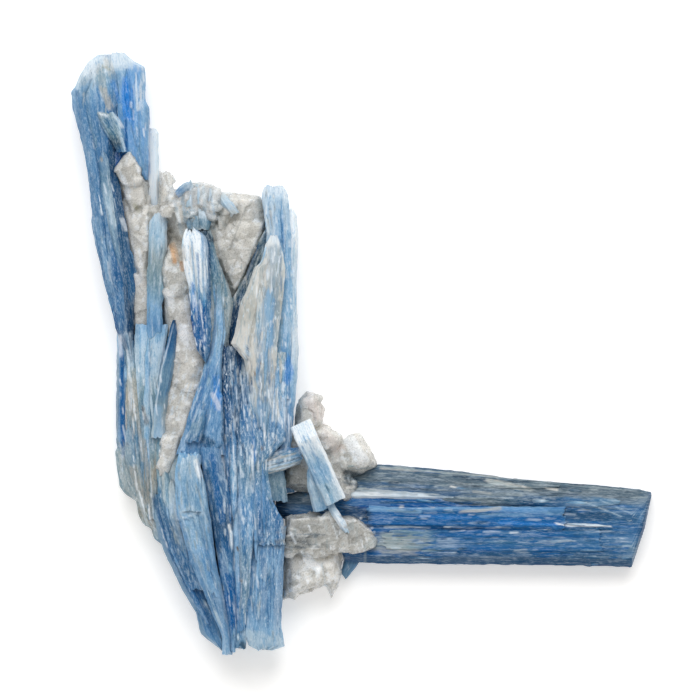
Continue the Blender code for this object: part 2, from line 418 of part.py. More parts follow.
def joined(name, objects):
    """Overlapping objects as one solid."""
    base = combined(objects[0], objects[1:], "UNION")
    base.name = name
    return base


def blades_joined(name, specs, grow=0.0):
    return joined(name, [blade_object(name + "_part", spec, grow) for spec in specs])


def bodies(shape):
    """The separate bodies of a bmesh, each a set of faces, the one with the most faces first."""
    left, found = set(shape.faces), []
    while left:
        body, edge_of = set(), [left.pop()]
        while edge_of:
            face = edge_of.pop()
            body.add(face)
            for edge in face.edges:
                for neighbour in edge.link_faces:
                    if neighbour in left:
                        left.remove(neighbour)
                        edge_of.append(neighbour)
        found.append(body)
    return sorted(found, key=len, reverse=True)


def finish(made, colour, roughness, collection):
    """Cleans up a node: one body, no crumbs or slivers, its own material, in the specimen's collection."""
    shape = bmesh.new()
    shape.from_mesh(made.data)
    bmesh.ops.remove_doubles(shape, verts=shape.verts, dist=WELD * MM)
    bmesh.ops.dissolve_degenerate(shape, edges=shape.edges, dist=WELD * MM / 2)
    crumbs = [face for body in bodies(shape)[1:] for face in body]
    bmesh.ops.delete(shape, geom=crumbs, context="FACES")
    bmesh.ops.triangulate(shape, faces=shape.faces)
    bmesh.ops.recalc_face_normals(shape, faces=shape.faces)
    mesh = bpy.data.meshes.new(made.name)
    shape.to_mesh(mesh)
    shape.free()
    made.data = mesh
    material = bpy.data.materials.new(made.name)
    material.use_nodes = True
    shader = material.node_tree.nodes["Principled BSDF"]
    shader.inputs["Base Color"].default_value = (*colour, 1.0)
    shader.inputs["Roughness"].default_value = roughness
    shader.inputs["Metallic"].default_value = 0.0
    mesh.materials.append(material)
    bpy.context.scene.collection.objects.unlink(made)
    collection.objects.link(made)
    print(made.name, len(mesh.polygons), "triangles")


def quartz_node(name, rocks, neighbours, extra=()):
    """One piece of quartz, with room left for the crystals that stand in it."""
    lumps = [rock_object(name + "_part", spec) for spec in rocks]
    body = joined(name, lumps + [blade_object(name + "_part", spec) for spec in extra])
    return combined(body, [blades_joined("cut", specs, CLEARANCE) for specs in neighbours], "DIFFERENCE")


def main():
    for old in list(bpy.data.objects):
        bpy.data.objects.remove(old)
    specimen = bpy.data.collections.new("kyanite_specimen")
    bpy.context.scene.collection.children.link(specimen)

    bundle_blades = BACK + TALL + LEFT + MIDDLE + RIGHT + STUB
    bundle = blades_joined("kyanite_bundle", bundle_blades)
    bundle = combined(bundle, [blades_joined("cut", PRISM, CLEARANCE)], "DIFFERENCE")
    side = blades_joined("kyanite_side_blade", SIDE)
    side = combined(side, [blades_joined("cut", specs, CLEARANCE) for specs in (bundle_blades, PRISM)],
                    "DIFFERENCE")
    prism = blades_joined("kyanite_small_prism", PRISM)
    kyanite = (bundle_blades, SIDE, PRISM)
    vein = quartz_node("quartz_vein", VEIN, (bundle_blades,), SPLINTERS)
    knobs = quartz_node("quartz_junction_upper", UPPER_KNOBS, kyanite)
    crust = quartz_node("quartz_junction_lower", LOWER_CRUST, kyanite)

    for made in (bundle, side, prism):
        finish(made, COLOURS[made.name], 0.35, specimen)
    for made in (vein, knobs, crust):
        finish(made, COLOURS["quartz"], 0.45, specimen)


main()
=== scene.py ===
import math
import random
from itertools import product

import bmesh
import bpy
import numpy as np
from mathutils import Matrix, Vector


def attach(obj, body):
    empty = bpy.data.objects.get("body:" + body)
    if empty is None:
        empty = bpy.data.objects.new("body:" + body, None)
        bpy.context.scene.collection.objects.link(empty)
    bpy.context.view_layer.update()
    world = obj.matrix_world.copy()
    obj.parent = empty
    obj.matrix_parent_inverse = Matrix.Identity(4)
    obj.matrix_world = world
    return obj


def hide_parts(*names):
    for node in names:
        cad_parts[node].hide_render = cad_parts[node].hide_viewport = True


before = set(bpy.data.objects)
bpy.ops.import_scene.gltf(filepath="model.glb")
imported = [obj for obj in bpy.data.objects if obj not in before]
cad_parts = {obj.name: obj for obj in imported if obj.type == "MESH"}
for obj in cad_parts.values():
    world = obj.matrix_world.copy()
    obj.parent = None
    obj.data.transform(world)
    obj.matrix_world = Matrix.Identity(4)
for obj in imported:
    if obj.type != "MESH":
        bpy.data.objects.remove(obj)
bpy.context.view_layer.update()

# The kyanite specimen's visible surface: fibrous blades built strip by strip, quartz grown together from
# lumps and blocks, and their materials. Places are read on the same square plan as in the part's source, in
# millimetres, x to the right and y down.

MM = 0.001
PLAN_MIDDLE = (72.3, 70.65)  # the point of the plan at the origin
PICTURE_MIDDLE = (70.0, 70.0)  # the point of the plan in the middle of the picture
PICTURE_WIDTH = 140.0

SMALL_EDGE = (0.5, 0.6)  # width and drop of a plain bevelled edge
RIDGE_TAPER = 0.3  # how far towards its next row a ridge has its full width
RIDGE_DROP = 0.5  # how much lower its tips are
RIDGE_SINK = 0.25  # how much lower than in the part's source the ridges stand
BACK_TOP = 9.0  # top of the blades at the back of the bundle
FRONT_BED = 9.5  # underside of the blades in front of them
SIDE_TOP = 9.0  # top of the side blade's highest plate at its two ends

ROW_STEP = 0.44  # spacing of a blade's points along it
COLUMN_STEP = 0.15  # and across it
STRIP_WIDTH = 0.7  # mean width of the strips that a blade splits into
STEP_HEIGHT = 0.035  # height of its cleavage steps at most
STEP_RUN = 7.0  # mean length between two steps of a strip
LAYER_HEIGHT = 1.0  # mean height of the cleavage layers that a blade's sides and ends show
LEDGE_DEPTH = 0.28  # how far back a layer stands at most
LEDGE_RUN = 11.0  # mean length between two places where that changes
TONE_RUN = 14.0  # and between two where its tone does
WIDEST_BEVEL = 0.36  # of a blade's width
DEEPEST_BEVEL = 0.45  # of its thickness
END_REACH = 4.0  # how far from its end a blade is torn at most
HIDDEN_BED = 6.0  # from this height up, undersides aren't seen
FLAKE_AREA = 7.0  # square millimetres of a blade's top for each flake torn off it or left on it
SPLINTER_AREA = 12.0  # and for each splinter that stands on it

FAN_ROCKS = 46  # number of narrow lumps at the broken upper edge
FAN_DEPTH = 4.6  # how far down the plan they begin at most
FAN_TOP = 15.6  # height of their tops
FAN_BROW = 38.4  # the line of the plan above which their tops fall away
VOXEL = 0.25  # spacing of the points on the quartz
LARGE_GRAIN = 2.6  # mean sizes of its faceted grains
SMALL_GRAIN = 0.9

CAMERA_HEIGHT = 3.0  # metres
SENSOR_WIDTH = 36.0
FLOOR_GAP = 0.00005  # metres between the specimen and the floor
SUN_DIRECTION = (0.05, -0.56, -0.83)

# Colours as they look, red, green and blue of 255.
PALETTE = {name: np.array(colour) / 255.0 for name, colour in {
    "white": (240, 245, 249),
    "silver": (212, 224, 234),
    "pale": (182, 204, 219),
    "sky": (146, 184, 214),
    "blue": (112, 157, 196),
    "mid": (90, 136, 176),
    "deep": (58, 110, 154),
    "azure": (116, 168, 218),
    "vivid": (44, 138, 218),
    "royal": (8, 96, 158),
    "navy": (28, 78, 116),
    "ink": (26, 50, 72),
    "steel": (112, 146, 170),
    "slate": (92, 109, 120),
    "teal": (122, 150, 162),
    "grey": (160, 172, 175),
    "beige": (190, 188, 180),
    "tan": (168, 160, 146),
    "rust": (206, 150, 88),
    "olive": (138, 138, 112),
    "brown": (118, 92, 66),
    "lavender": (208, 214, 226),
    "blush": (214, 204, 200),
    "milk": (217, 215, 209),
    "smoke": (157, 158, 154),
}.items()}
KYANITE_ONLY = ("blue", "mid", "deep", "azure", "vivid", "royal", "navy", "lavender")  # never on the quartz
LIGHT = 1.05  # how brightly the lamps light a level white face
MILKY = np.array((0.62, 0.70, 0.76)) / LIGHT  # where the crystal is cloudy, as a linear colour
DEEPER = np.array((0.36, 0.60, 0.78))  # what the colour is multiplied by where the crystal is clear


def linear(colour):
    """A colour as it looks under the lamps, as the linear values that shading works with."""
    return np.where(colour <= 0.04045, colour / 12.92, ((colour + 0.055) / 1.055) ** 2.4) / LIGHT


def scatter(*numbers):
    """An even spread of values from 0 to 1 that looks random, from any numbers."""
    total = sum(value * weight for value, weight in zip(numbers, (127.1, 311.7, 74.7, 269.5)))
    value = np.sin(total) * 43758.5453
    return value - np.floor(value)


def lattice(x, y, seed):
    """Smooth random values from -1 to 1 over a plane, a new one every unit."""
    column, row = np.floor(x), np.floor(y)
    across, along = x - column, y - row
    across, along = across * across * (3 - 2 * across), along * along * (3 - 2 * along)
    low = scatter(column, row, seed) * (1 - across) + scatter(column + 1, row, seed) * across
    high = scatter(column, row + 1, seed) * (1 - across) + scatter(column + 1, row + 1, seed) * across
    return 2 * (low * (1 - along) + high * along) - 1


# What a blade is like where its own line in the tables doesn't say it.
PLAIN = {"edges": (SMALL_EDGE, SMALL_EDGE), "lean": 0.0, "back": 0.0, "across": False, "turn": None,
         "sides": ("", ""), "contrast": 0.5, "flecks": 0.3, "ragged": (0.5, 0.5), "splinters": 1.0,
         "fine": 1.0}


def blade(rows, bed, shades, **look):
    """One crystal blade, with rows, bed, edges, lean, back, across and turn as in the part's source. shades
    are its colours from its first row to its last, evenly spaced, and sides the colours of its two edges.
    ragged says how far its two ends are torn, and fine how coarse its strips and points are. contrast,
    flecks and splinters say how strong its streaks are and how many flecks and splinters it has."""
    return {**PLAIN, "rows": rows, "bed": bed, "shades": shades, **look}


def narrowed(row, following):
    """The two rows with which a ridge begins at the first of these rows: its tip, then its full width."""
    place, one, other, height = row
    tip = (place, one * 0.7 + other * 0.3, one * 0.3 + other * 0.7, height - RIDGE_DROP)
    return tip, tuple(value + (goal - value) * RIDGE_TAPER for value, goal in zip(row, following))


def ridge(rows, bed, shades, **look):
    """A low blade that stands on another and narrows to a blunt tip at both ends."""
    first_tip, first = narrowed(rows[0], rows[1])
    last_tip, last = narrowed(rows[-1], rows[-2])
    rows = [(*row[:3], row[3] - RIDGE_SINK) for row in (first_tip, first, *rows[1:-1], last, last_tip)]
    return blade(rows, bed, shades, **{"splinters": 0.4, "ragged": (0.7, 0.7), **look})


# Blades at the back of the bundle, which it lies on.
BACK = [
    blade([(42, 33, 44.5, 7.5), (46, 32.4, 46, 8.5), (70, 32.6, 47, BACK_TOP), (96, 34, 48, BACK_TOP),
           (118, 41, 48.6, 8), (127, 43.6, 48, 6.5)], 1.2, "grey steel mid deep mid steel", back=1.4,
          fine=2.6),
    blade([(40.6, 45.5, 53, 6.5), (46, 45.2, 57.6, 7.5), (72, 45.5, 58.6, BACK_TOP), (96, 47, 55, BACK_TOP),
           (122, 48, 55.6, 8), (127.6, 48.4, 55.2, 6.5)], 1.6, "sky blue mid steel mid sky", back=1.5,
          fine=2.6),
    blade([(63, 24.6, 33.4, 7), (76, 23.9, 34.6, 8.5), (91, 24.2, 36, BACK_TOP), (97, 26.4, 37.6, 8.5),
           (104, 30.4, 38, 7.5), (110, 34, 40.6, 6.5)], 0.8, "steel blue deep grey steel", back=1.2,
          fine=2.6),
    blade([(48, 38.6, 42, 2.6), (74, 39, 45.2, 2.6), (104, 41.4, 46.6, 2.6), (112, 43.6, 45.6, 2.6)], 0,
          "mid deep steel mid", back=0.5, fine=2.6),
    blade([(58, 50.4, 54.6, 3), (86, 49.6, 55, 3), (108, 50.6, 53.4, 3)], 0, "blue mid steel", back=0.5,
          fine=2.6),
    blade([(70, 27.6, 30.6, 2.4), (84, 27, 32.2, 2.4), (95, 29.6, 31.4, 2.4)], 0, "steel blue grey",
          back=0.4, fine=2.6),
    blade([(28, 22.4, 26.4, 2.9), (46, 23.4, 28.2, 2.9), (56, 25, 28.8, 3.5), (66, 26.6, 29.6, 3.5)], 1.5,
          "mid blue mid deep", fine=2.6),
    blade([(27, 23.2, 26.6, 9.5), (30.6, 23.4, 25.7, 9.5)], 7, "royal deep", fine=1.3),
    blade([(92, 53, 57.8, 7), (98.9, 54.4, 59, 6.4)], 3, "steel mid", fine=2.6),
    blade([(84, 43.6, 46.8, 17.2), (96, 44, 46.8, 18.2), (106, 45, 46.8, 18)], 11, "deep navy deep",
          fine=1.3),
]

# The tall blade at the upper left, and the crystals that share its upper end.
TALL = [
    blade([(11, 19.6, 22.4, 8.6), (12.4, 17.8, 23.8, 10.2), (15, 16.2, 24.6, 11.6), (17.4, 15.2, 24.8, 12.2),
           (18.6, 14.4, 24.8, 12.4), (22, 14.7, 24.6, 12.6), (29, 16.6, 24, 12.8), (33.6, 17.6, 23.4, 13),
           (37.6, 18, 24.3, 13), (43.2, 18.6, 25, 13), (44.2, 18.3, 25.4, 13), (49.4, 19.3, 26.2, 13),
           (56, 20.9, 28, 13), (58.8, 21.6, 28.3, 12.8), (61.4, 22.3, 27.4, 12.6), (66, 23.4, 26.9, 12.2),
           (74.6, 26.6, 27.4, 11.4)], 1.4, "silver pale blue mid mid mid mid mid mid deep mid deep navy ink",
          edges=((1.5, 2.6), (2.2, 2)), lean=-0.8, back=1.5, ragged=(0.1, 0.2), sides=("", "navy")),
    blade([(10.5, 22.4, 25, 8), (12.2, 21.8, 26.8, 9.6), (13.4, 21.6, 29, 10.4), (20.2, 22.4, 29.2, 11.2),
           (21.6, 23, 30, 11.4), (30, 24.6, 30, 11.4), (33.2, 26.4, 29.9, 11), (36.2, 29, 29.8, 10.4)], 2.6,
          "silver sky sky blue blue sky blue mid", edges=((0.5, 0.8), (1, 2)), lean=0.6, back=1,
          ragged=(0.3, 0.2), contrast=0.35),
    ridge([(14, 16.8, 19.2, 12.7), (20, 15.4, 17.4, 13.4), (34, 18.6, 20.2, 13.7), (52, 20.6, 22.2, 13.6),
           (60, 22.6, 24, 13.2)], 9, "pale mid deep mid mid deep mid deep"),
    ridge([(30, 19.6, 21.8, 13.9), (37, 20.4, 22.4, 14.1), (46, 22, 23.6, 13.9), (57, 24.6, 26, 13.4),
           (65, 25.2, 26.2, 12.8)], 9, "mid steel pale steel deep navy navy"),
    ridge([(13.6, 24.8, 26, 11.4), (22.8, 25, 26.6, 12.2)], 7, "blue blue vivid blue"),
    # The silver and pale shades of this ridge are a painted sheen, where the lamp catches the facet.
    ridge([(14.4, 26.6, 28.4, 11.6), (26, 26.4, 28.2, 12.2), (31, 27.2, 28.6, 11.8)], 7,
          "silver pale sky sky blue"),
    blade([(22.5, 19.6, 23, 13.3), (24, 20.1, 24.1, 13.8), (27.5, 21.9, 24.9, 13.9),
           (30.7, 23.6, 25.4, 13.5)], 9, "grey steel teal slate mid", lean=0.5, sides=("", "pale"),
          contrast=0.7, ragged=(0.4, 0.3)),
    # Its shades are whiter than the crystal's own pale lavender, as painted light that offsets the shade it
    # lies in.
    blade([(25.7, 30, 31.2, 6), (26.6, 29.4, 31.8, 6.8), (34, 29.4, 31.8, 7.2), (43, 29.4, 32.2, 7.2),
           (54, 29.8, 33, 7)], 3, "white white white silver milk pale", contrast=0.2, flecks=0.1,
          ragged=(0.3, 0.3), splinters=0.3),
    blade([(28.8, 22.6, 25.8, 10.6), (31, 22.4, 26.2, 11), (34, 22.6, 26.2, 10.6)], 6, "deep royal royal",
          splinters=0, ragged=(0.2, 0.2)),
]

# The left side of the bundle, from the grey-green blade down to the rough flank.
LEFT = [
    blade([(42.6, 31.2, 33, 12), (44.4, 30, 33.8, 12.9), (50, 29.9, 33.5, 13.6), (55, 29.5, 32.8, 13.8),
           (58, 29.5, 33.4, 13.8), (61, 29.5, 32.6, 13.8), (70, 29.4, 33, 13.4)], 10.4,
          "silver pale grey teal sky blue sky", lean=-0.5, flecks=0.1, ragged=(0.4, 1), splinters=0.3,
          contrast=0.4),
    blade([(64.6, 27.2, 33.8, 13), (70, 27, 33.2, 14), (76, 27.4, 32.2, 14.4), (88, 28.4, 33.2, 14.2),
           (96, 28.6, 32, 13.6), (104, 29.4, 31.4, 12.4)], FRONT_BED - 3,
          "sky pale pale teal steel grey tan grey steel", edges=((1, 1.4), SMALL_EDGE)),
    ridge([(67, 29, 30.6, 14.6), (80, 28.8, 30.4, 15.1), (99, 29.2, 30.4, 14.1)], 9,
          "pale sky pale sky grey"),
    blade([(64, 34.8, 35.3, 15.4), (66.2, 34, 35.6, 16), (72, 32.8, 35.2, 16.4), (75.4, 32, 34.6, 16.4),
           (80, 31.2, 33.7, 16.2), (87.6, 30.4, 33.2, 15.4)], FRONT_BED, "navy deep steel steel grey pale",
          lean=-0.9, contrast=0.25, flecks=0.05, ragged=(0.1, 0.4), splinters=0.1),
    blade([(62, 23.8, 26.4, 8.6), (68, 23.5, 26.6, 9.8), (80, 23.3, 26.6, 11), (88, 23.4, 26.6, 11.4),
           (92.6, 24.2, 25.6, 11)], 1.5, "steel sky mid mid deep mid blue", edges=((0.8, 2), SMALL_EDGE),
          back=0.8, contrast=0.3),
    blade([(68, 25, 28.2, 10.8), (76, 25.2, 28.8, 12.4), (92, 25.2, 30, 13.2), (100, 27.8, 31, 12.4),
           (105.2, 29.4, 31.6, 11)], 5, "navy grey tan steel steel grey grey"),
    blade([(86.6, 24.6, 29, 11.2), (90.4, 23.1, 30, 12), (97.2, 24, 31, 12.2), (98.6, 25, 31.4, 12.2),
           (100.2, 27.4, 31.6, 12.2), (102.4, 27.7, 32.4, 12), (104.8, 28.8, 33, 11.8),
           (105.6, 30.3, 33.4, 11.6), (107.8, 31, 34, 11.2), (109.4, 32.8, 34.6, 10.6)], 3,
          "steel grey grey grey tan grey steel", edges=((1.6, 2.4), SMALL_EDGE), back=1, flecks=0.8),
    ridge([(80, 26.6, 27.6, 13.2), (94, 27.4, 28.4, 14), (101, 28.8, 29.6, 13.2)], 9, "tan steel grey grey"),
    blade([(86, 31.2, 36.4, 14.4), (94, 31.4, 36.4, 15.6), (102, 32, 36.8, 16.6), (110, 34.4, 38.4, 17.4),
           (118, 38, 41.4, 16.8)], 7, "grey grey steel blue mid", lean=0.8),
    ridge([(88, 33, 34.2, 15.8), (95, 32.6, 34, 16.7), (102.6, 33, 35.4, 17.4)], 12, "grey grey pale"),
    ridge([(95.6, 33.6, 35.8, 17.6), (103.6, 34.2, 36.4, 18.4), (112, 36.8, 38.6, 18.4)], 12,
          "grey pale grey sky"),
    blade([(98.6, 30.6, 32.6, 14.4), (104, 31, 35.4, 15.4), (109.4, 32.6, 37.6, 15.6),
           (116.6, 36, 40.4, 15.2), (122.6, 39.4, 43.6, 14.6), (126.6, 40.2, 45, 13.4),
           (130.2, 44.2, 45.4, 12.4)], 4, "steel deep deep deep deep mid sky", edges=((1, 2.4), SMALL_EDGE),
          lean=0.8, back=1, sides=("steel", "navy"), flecks=0.1, contrast=0.4),
    ridge([(104, 32.6, 34, 16.5), (116, 37, 38.4, 16.5), (125, 41.2, 42.6, 15.4)], 11, "mid mid deep blue"),
]

# The middle of the bundle.
MIDDLE = [
    # Its white and silver upper end, and that of the ridge on it, is a painted pearly sheen.
    blade([(45.7, 37.5, 39.8, 18.4), (46.8, 36.9, 41.3, 19.2), (50, 36.5, 42, 20), (53.6, 36.9, 42.2, 20.2),
           (57.6, 38, 42.3, 20.2), (66, 38.6, 42.4, 19.8), (70, 39.6, 42.2, 19.4), (72.5, 41.1, 41.5, 18.8)],
          13, "white white white silver royal royal royal navy", edges=((1, 0.9), (0.7, 0.9)), lean=-0.5,
          ragged=(1, 0.1), sides=("", "mid"), flecks=0.8, contrast=0.6),
    ridge([(48.6, 38.2, 39.2, 20.7), (66, 39.8, 40.8, 20.4)], 15, "white white silver mid royal royal"),
    blade([(46, 40.2, 42.3, 15.2), (51, 41, 43.4, 16), (54, 41.2, 44.6, 16.4), (60, 41.6, 46.8, 16.6),
           (69, 41.6, 45.8, 16.6), (76, 42, 45, 15.8)], FRONT_BED - 0.5,
          "slate steel teal grey grey steel sky", lean=-0.8, sides=("", "grey"), contrast=0.7),
    blade([(56.6, 42.8, 44.8, 16.9), (66, 42.4, 45.2, 17.8), (70, 42, 44.6, 18.4), (74, 40.8, 44.4, 18.9),
           (80, 38.8, 44.5, 19.2), (86, 37, 44.8, 19.2), (91, 35.4, 45.2, 18.6)], FRONT_BED,
          "teal sky sky blue blue mid blue", edges=((1.4, 1.4), (0.4, 0.8)), lean=0.4),
    ridge([(77, 42.4, 44.6, 19.9), (84, 41.6, 44.9, 20.3), (90.6, 40.2, 44.8, 20)], 13,
          "vivid blue blue mid"),
    blade([(81.6, 39.4, 41.6, 19.9), (88.6, 37.2, 40.4, 20.1)], 13, "blue steel deep", lean=0.5),
    blade([(45.4, 53.2, 54.2, 14.2), (48, 51.8, 54.2, 14.8), (52, 50.4, 53, 14.8), (56, 48.8, 51, 14.6),
           (60, 46.4, 49.4, 14.6), (64, 45.4, 48.6, 14.6), (71, 44.6, 47.4, 14.6)], FRONT_BED - 1,
          "steel slate slate slate navy navy ink", lean=-1.2, contrast=0.7),
    blade([(69, 44.4, 48.2, 16.8), (72, 44.4, 50.4, 17.6), (80, 44.6, 50.8, 18.2), (92, 45, 51.4, 18.6),
           (104, 46, 50.4, 18.4)], FRONT_BED - 2, "navy navy deep deep mid mid blue", contrast=0.7,
          flecks=1),
    ridge([(70.4, 46.8, 47.8, 18.5), (84, 47, 48.2, 19.3), (91, 47.6, 48.4, 19.4)], 13, "navy mid navy mid",
          flecks=0.8),
    blade([(80.6, 47.8, 50.6, 18.8), (92, 47.6, 51.2, 20), (104, 47.8, 51, 20.4), (118, 48.2, 50, 18.8),
           (126, 47.8, 49, 16.8)], 11, "mid mid steel blue blue steel steel blue", lean=0.3, contrast=0.6,
          flecks=0.8),
    ridge([(84, 46, 47.4, 19.7), (97, 46.2, 47.6, 20.1), (104.4, 46.2, 47.6, 19.9)], 13,
          "mid blue pale sky mid", contrast=0.8, flecks=1),
    ridge([(104.6, 45.8, 46.7, 20.2), (110.4, 46.1, 46.8, 20)], 15, "sky white silver sky"),
    blade([(100, 46.4, 50.4, 19.2), (110, 46.6, 50.4, 18.6), (120, 47.2, 50, 17.5),
           (129.6, 47.2, 49.2, 15.4)], 9, "steel sky sky blue blue steel", edges=(SMALL_EDGE, (0.8, 0.7))),
    blade([(90, 36.2, 40.6, 21.6), (93, 35.4, 40.4, 22.6), (96, 35.2, 41.2, 23.2), (102.6, 35.6, 42.2, 22.8),
           (112, 38.2, 43.4, 21.8), (120, 41.6, 45.2, 19.8), (127, 44.6, 46.4, 17.4),
           (130.8, 44.6, 46.6, 15.4)], 10, "sky sky sky blue blue blue mid blue sky",
          edges=((1.4, 1.6), (0.8, 2.6)), lean=0.5, ragged=(0.9, 0.3), flecks=0.2, contrast=0.4),
    blade([(90.5, 36.6, 39.7, 22.4), (96, 36, 40.2, 23.6), (102.2, 36.4, 40.6, 23.6)], 16, "pale sky sky",
          contrast=0.5, ragged=(0.9, 0.5)),
    blade([(101.8, 36.3, 40, 23.1), (110, 38.5, 41.4, 22.9), (119, 42.2, 43.8, 20.8)], 16,
          "sky sky blue sky", contrast=0.5, ragged=(0.3, 0.9)),
    ridge([(94.4, 40.2, 41, 23.7), (106, 41, 42, 23.4), (114, 42.6, 43.6, 22.2)], 16, "pale sky blue",
          contrast=0.4),
    blade([(89, 40.2, 44.2, 19.6), (92, 40.4, 44.6, 20.2), (100, 41.8, 46.6, 20), (108, 43.2, 46.6, 19.6),
           (116, 44.4, 47.2, 18.6), (126, 46, 47.6, 16.6), (130.4, 46.2, 47.2, 15.2)], 10,
          "mid deep deep navy deep mid royal mid sky", edges=(SMALL_EDGE, (0.4, 0.6)), lean=-0.4,
          flecks=0.1),
]

# The right side of the bundle.
RIGHT = [
    blade([(37.1, 52.9, 56.6, 15), (38.2, 52.5, 57.4, 16.2), (40, 52.4, 57.8, 17), (46.4, 53.3, 58.2, 17.2),
           (60, 54, 58.6, 17.4), (80, 54, 58.2, 17.8)], 6, "silver sky sky sky sky blue blue",
          edges=(SMALL_EDGE, (0.8, 1)), back=1),
    ridge([(39.6, 55.8, 57, 17.8), (52, 56.6, 57.6, 18)], 12, "sky blue blue", contrast=0.7),
    blade([(41.6, 57.8, 58.8, 13.8), (42.8, 57.4, 59.4, 14.8), (48, 57.2, 59.8, 15.6), (56, 57, 59.4, 16),
           (66, 57, 59.6, 16.4), (69.4, 57, 59.8, 16.6), (76, 56.8, 59.4, 17), (84, 56.4, 58.7, 16.6),
           (90, 55.6, 58.2, 15.6)], 4, "white white silver silver silver pale sky blue sky",
          edges=(SMALL_EDGE, (0.6, 1.6)), back=1),
    blade([(47.1, 54.2, 55.6, 18.8), (49, 53.2, 56.4, 20), (52.6, 52.2, 57, 20.6), (53.7, 50.8, 57.2, 20.8),
           (58, 49.4, 56.9, 21), (60.4, 48.3, 56.6, 21), (66, 47.2, 55.9, 21), (68.7, 46.3, 55.6, 21),
           (72, 49, 55.4, 20.8), (80, 50.4, 54.8, 20.4), (86, 51.4, 54, 20)], 12,
          "white milk milk beige milk milk beige pale grey", edges=((0.9, 1.2), (0.8, 1.2)), lean=-0.4,
          ragged=(0.3, 1.5), flecks=1, contrast=0.2),
    ridge([(55, 51.4, 53.2, 21.6), (71, 50.8, 52.6, 21.6)], 15, "milk milk pale milk", flecks=1,
          contrast=0.3),
    ridge([(62, 53.2, 54.6, 21.4), (79, 52.4, 53.6, 21.2)], 15, "sky blue sky pale"),
    blade([(70, 49.8, 57.2, 18.6), (80, 49.8, 57.4, 19.4), (88, 50.2, 57, 19.4), (92, 50, 53.4, 19.6),
           (100, 49.8, 54.6, 19.4), (104, 49.8, 56.8, 18.8), (109, 49.8, 57.2, 17.8)], 5,
          "grey sky sky blue steel steel blue mid mid", contrast=0.65, flecks=1),
    ridge([(74.4, 53.4, 54.4, 20.6), (89, 52.4, 53.4, 20.6)], 14, "beige pale grey"),
    ridge([(76, 55, 56.2, 19.8), (87, 54.6, 55.8, 19.9)], 14, "silver grey pale"),
    ridge([(92, 52, 53.2, 20.4), (107, 52.4, 53.6, 20)], 14, "mid blue mid"),
    ridge([(98, 50.4, 51.4, 20.3), (112, 50.8, 51.8, 19.3)], 13, "sky blue sky"),
    blade([(105, 50, 57.3, 16.8), (112, 50, 56.8, 17), (120, 49.4, 56.6, 16.8), (124.4, 49.2, 56.2, 16.2),
           (127, 49, 56.6, 15.6), (129.2, 49.8, 57, 14.8), (130, 51.4, 54.6, 14)], 5.5,
          "mid mid mid mid mid sky pale", edges=((0.3, 0.4), (0.6, 1)), back=1, flecks=0.6, contrast=0.45,
          ragged=(0.2, 0.8)),
    ridge([(108.4, 51.2, 52.4, 17.9), (123, 50.6, 51.8, 17.2)], 13, "sky sky blue"),
    ridge([(110, 54, 55.2, 17.6), (121, 54, 55, 17.5)], 13, "mid mid blue"),
]

# The short crystal that grows sideways out of the bundle's right side, and the pale face under it.
STUB = [
    blade([(50.6, 90.8, 94.4, 18.4), (54, 90.2, 94.6, 17.8), (57, 89.4, 93.8, 16.6), (60.6, 89.4, 92.6, 15)],
          9, "sky pale sky", across=True, lean=-1, sides=("mid", "beige"), contrast=0.8),
    blade([(92.6, 52.6, 56.4, 14.6), (96, 53.4, 57.2, 14), (100.4, 54, 57.6, 13)], 5, "sky teal steel",
          lean=-1.6),
]

# The side blade: a thick body under a stack of cleavage plates, and the stub below its left end.
SIDE = [
    # Its navy lower edge is painted shade, on the facet that faces away from the lamp.
    blade([(55, 99.4, 102.8, 6.6), (66, 96.6, 108.6, 7.4), (69, 94.1, 112.3, 8), (75.8, 92.8, 112.6, 8.2),
           (90, 94, 112.8, 8.2), (104, 95.8, 112.9, 8.2), (120, 97, 113.2, 8.2), (126.2, 97.7, 113.4, 8),
           (128.8, 98, 105.8, 7.8), (130.2, 98.3, 99.4, 5.8)], 0,
          "deep deep royal royal royal deep deep deep mid", edges=((4.2, 2.6), (1.6, 2.2)), lean=0.6, back=1,
          across=True, sides=("slate", "navy"), ragged=(0.4, 0.1), contrast=0.45, flecks=0.15),
    ridge([(68.4, 97.4, 99.6, 8.6), (76, 97.8, 99.6, 9), (91.6, 99, 99.9, 8.8)], 5,
          "silver white silver silver pale", across=True, contrast=0.3),
    blade([(73, 101, 105.2, SIDE_TOP), (84, 101.4, 105.4, 9.3), (100, 101.2, 105.8, 9.3),
           (113.2, 101.2, 106.6, SIDE_TOP)], 5, "royal royal royal royal royal deep mid", across=True,
          sides=("blue", "royal"), ragged=(0.8, 0.9), contrast=0.4, flecks=0.15),
    blade([(76.4, 105.8, 110.4, 8.6), (96, 105.6, 110.6, 8.9), (121, 105.4, 110.8, 8.7)], 4,
          "grey teal deep royal royal deep royal deep mid", edges=(SMALL_EDGE, (0.8, 0.8)), across=True,
          ragged=(1.4, 1.6), contrast=0.4, flecks=0.2),
    ridge([(88, 98.6, 101, 8.9), (104, 99.4, 101.2, 9.1), (124, 99, 102, 8.6)], 5,
          "slate slate navy deep steel", across=True),
    ridge([(112.6, 104.4, 105, 9.2), (122.4, 104.8, 105.6, 8.9)], 5, "silver silver pale", across=True),
    ridge([(70, 94.2, 96, 6.7), (98, 96.6, 98, 7.2), (112, 96.6, 98, 7)], 3, "slate slate grey grey",
          across=True),
    blade([(108, 70.2, 74.8, 5), (112.4, 68.6, 71.9, 4.8), (114.6, 68, 70.3, 4.4), (116, 69, 69.3, 4)], 1.2,
          "deep mid steel", contrast=0.15, splinters=0),
]

# The pale splinter that lies on the crust in front of the joint.
CRUST_SPLINTER = [
    blade([(0, -0.6, 0.5, 12.6), (2, -0.9, 0.7, 13.2), (5.6, -0.7, 0.9, 13.2), (8, -0.4, 0.5, 12.4)], 10.4,
          "sky pale white silver pale", turn=((65.6, 99.8), 29), contrast=0.5, splinters=0.2,
          ragged=(0.4, 0.6)),
]

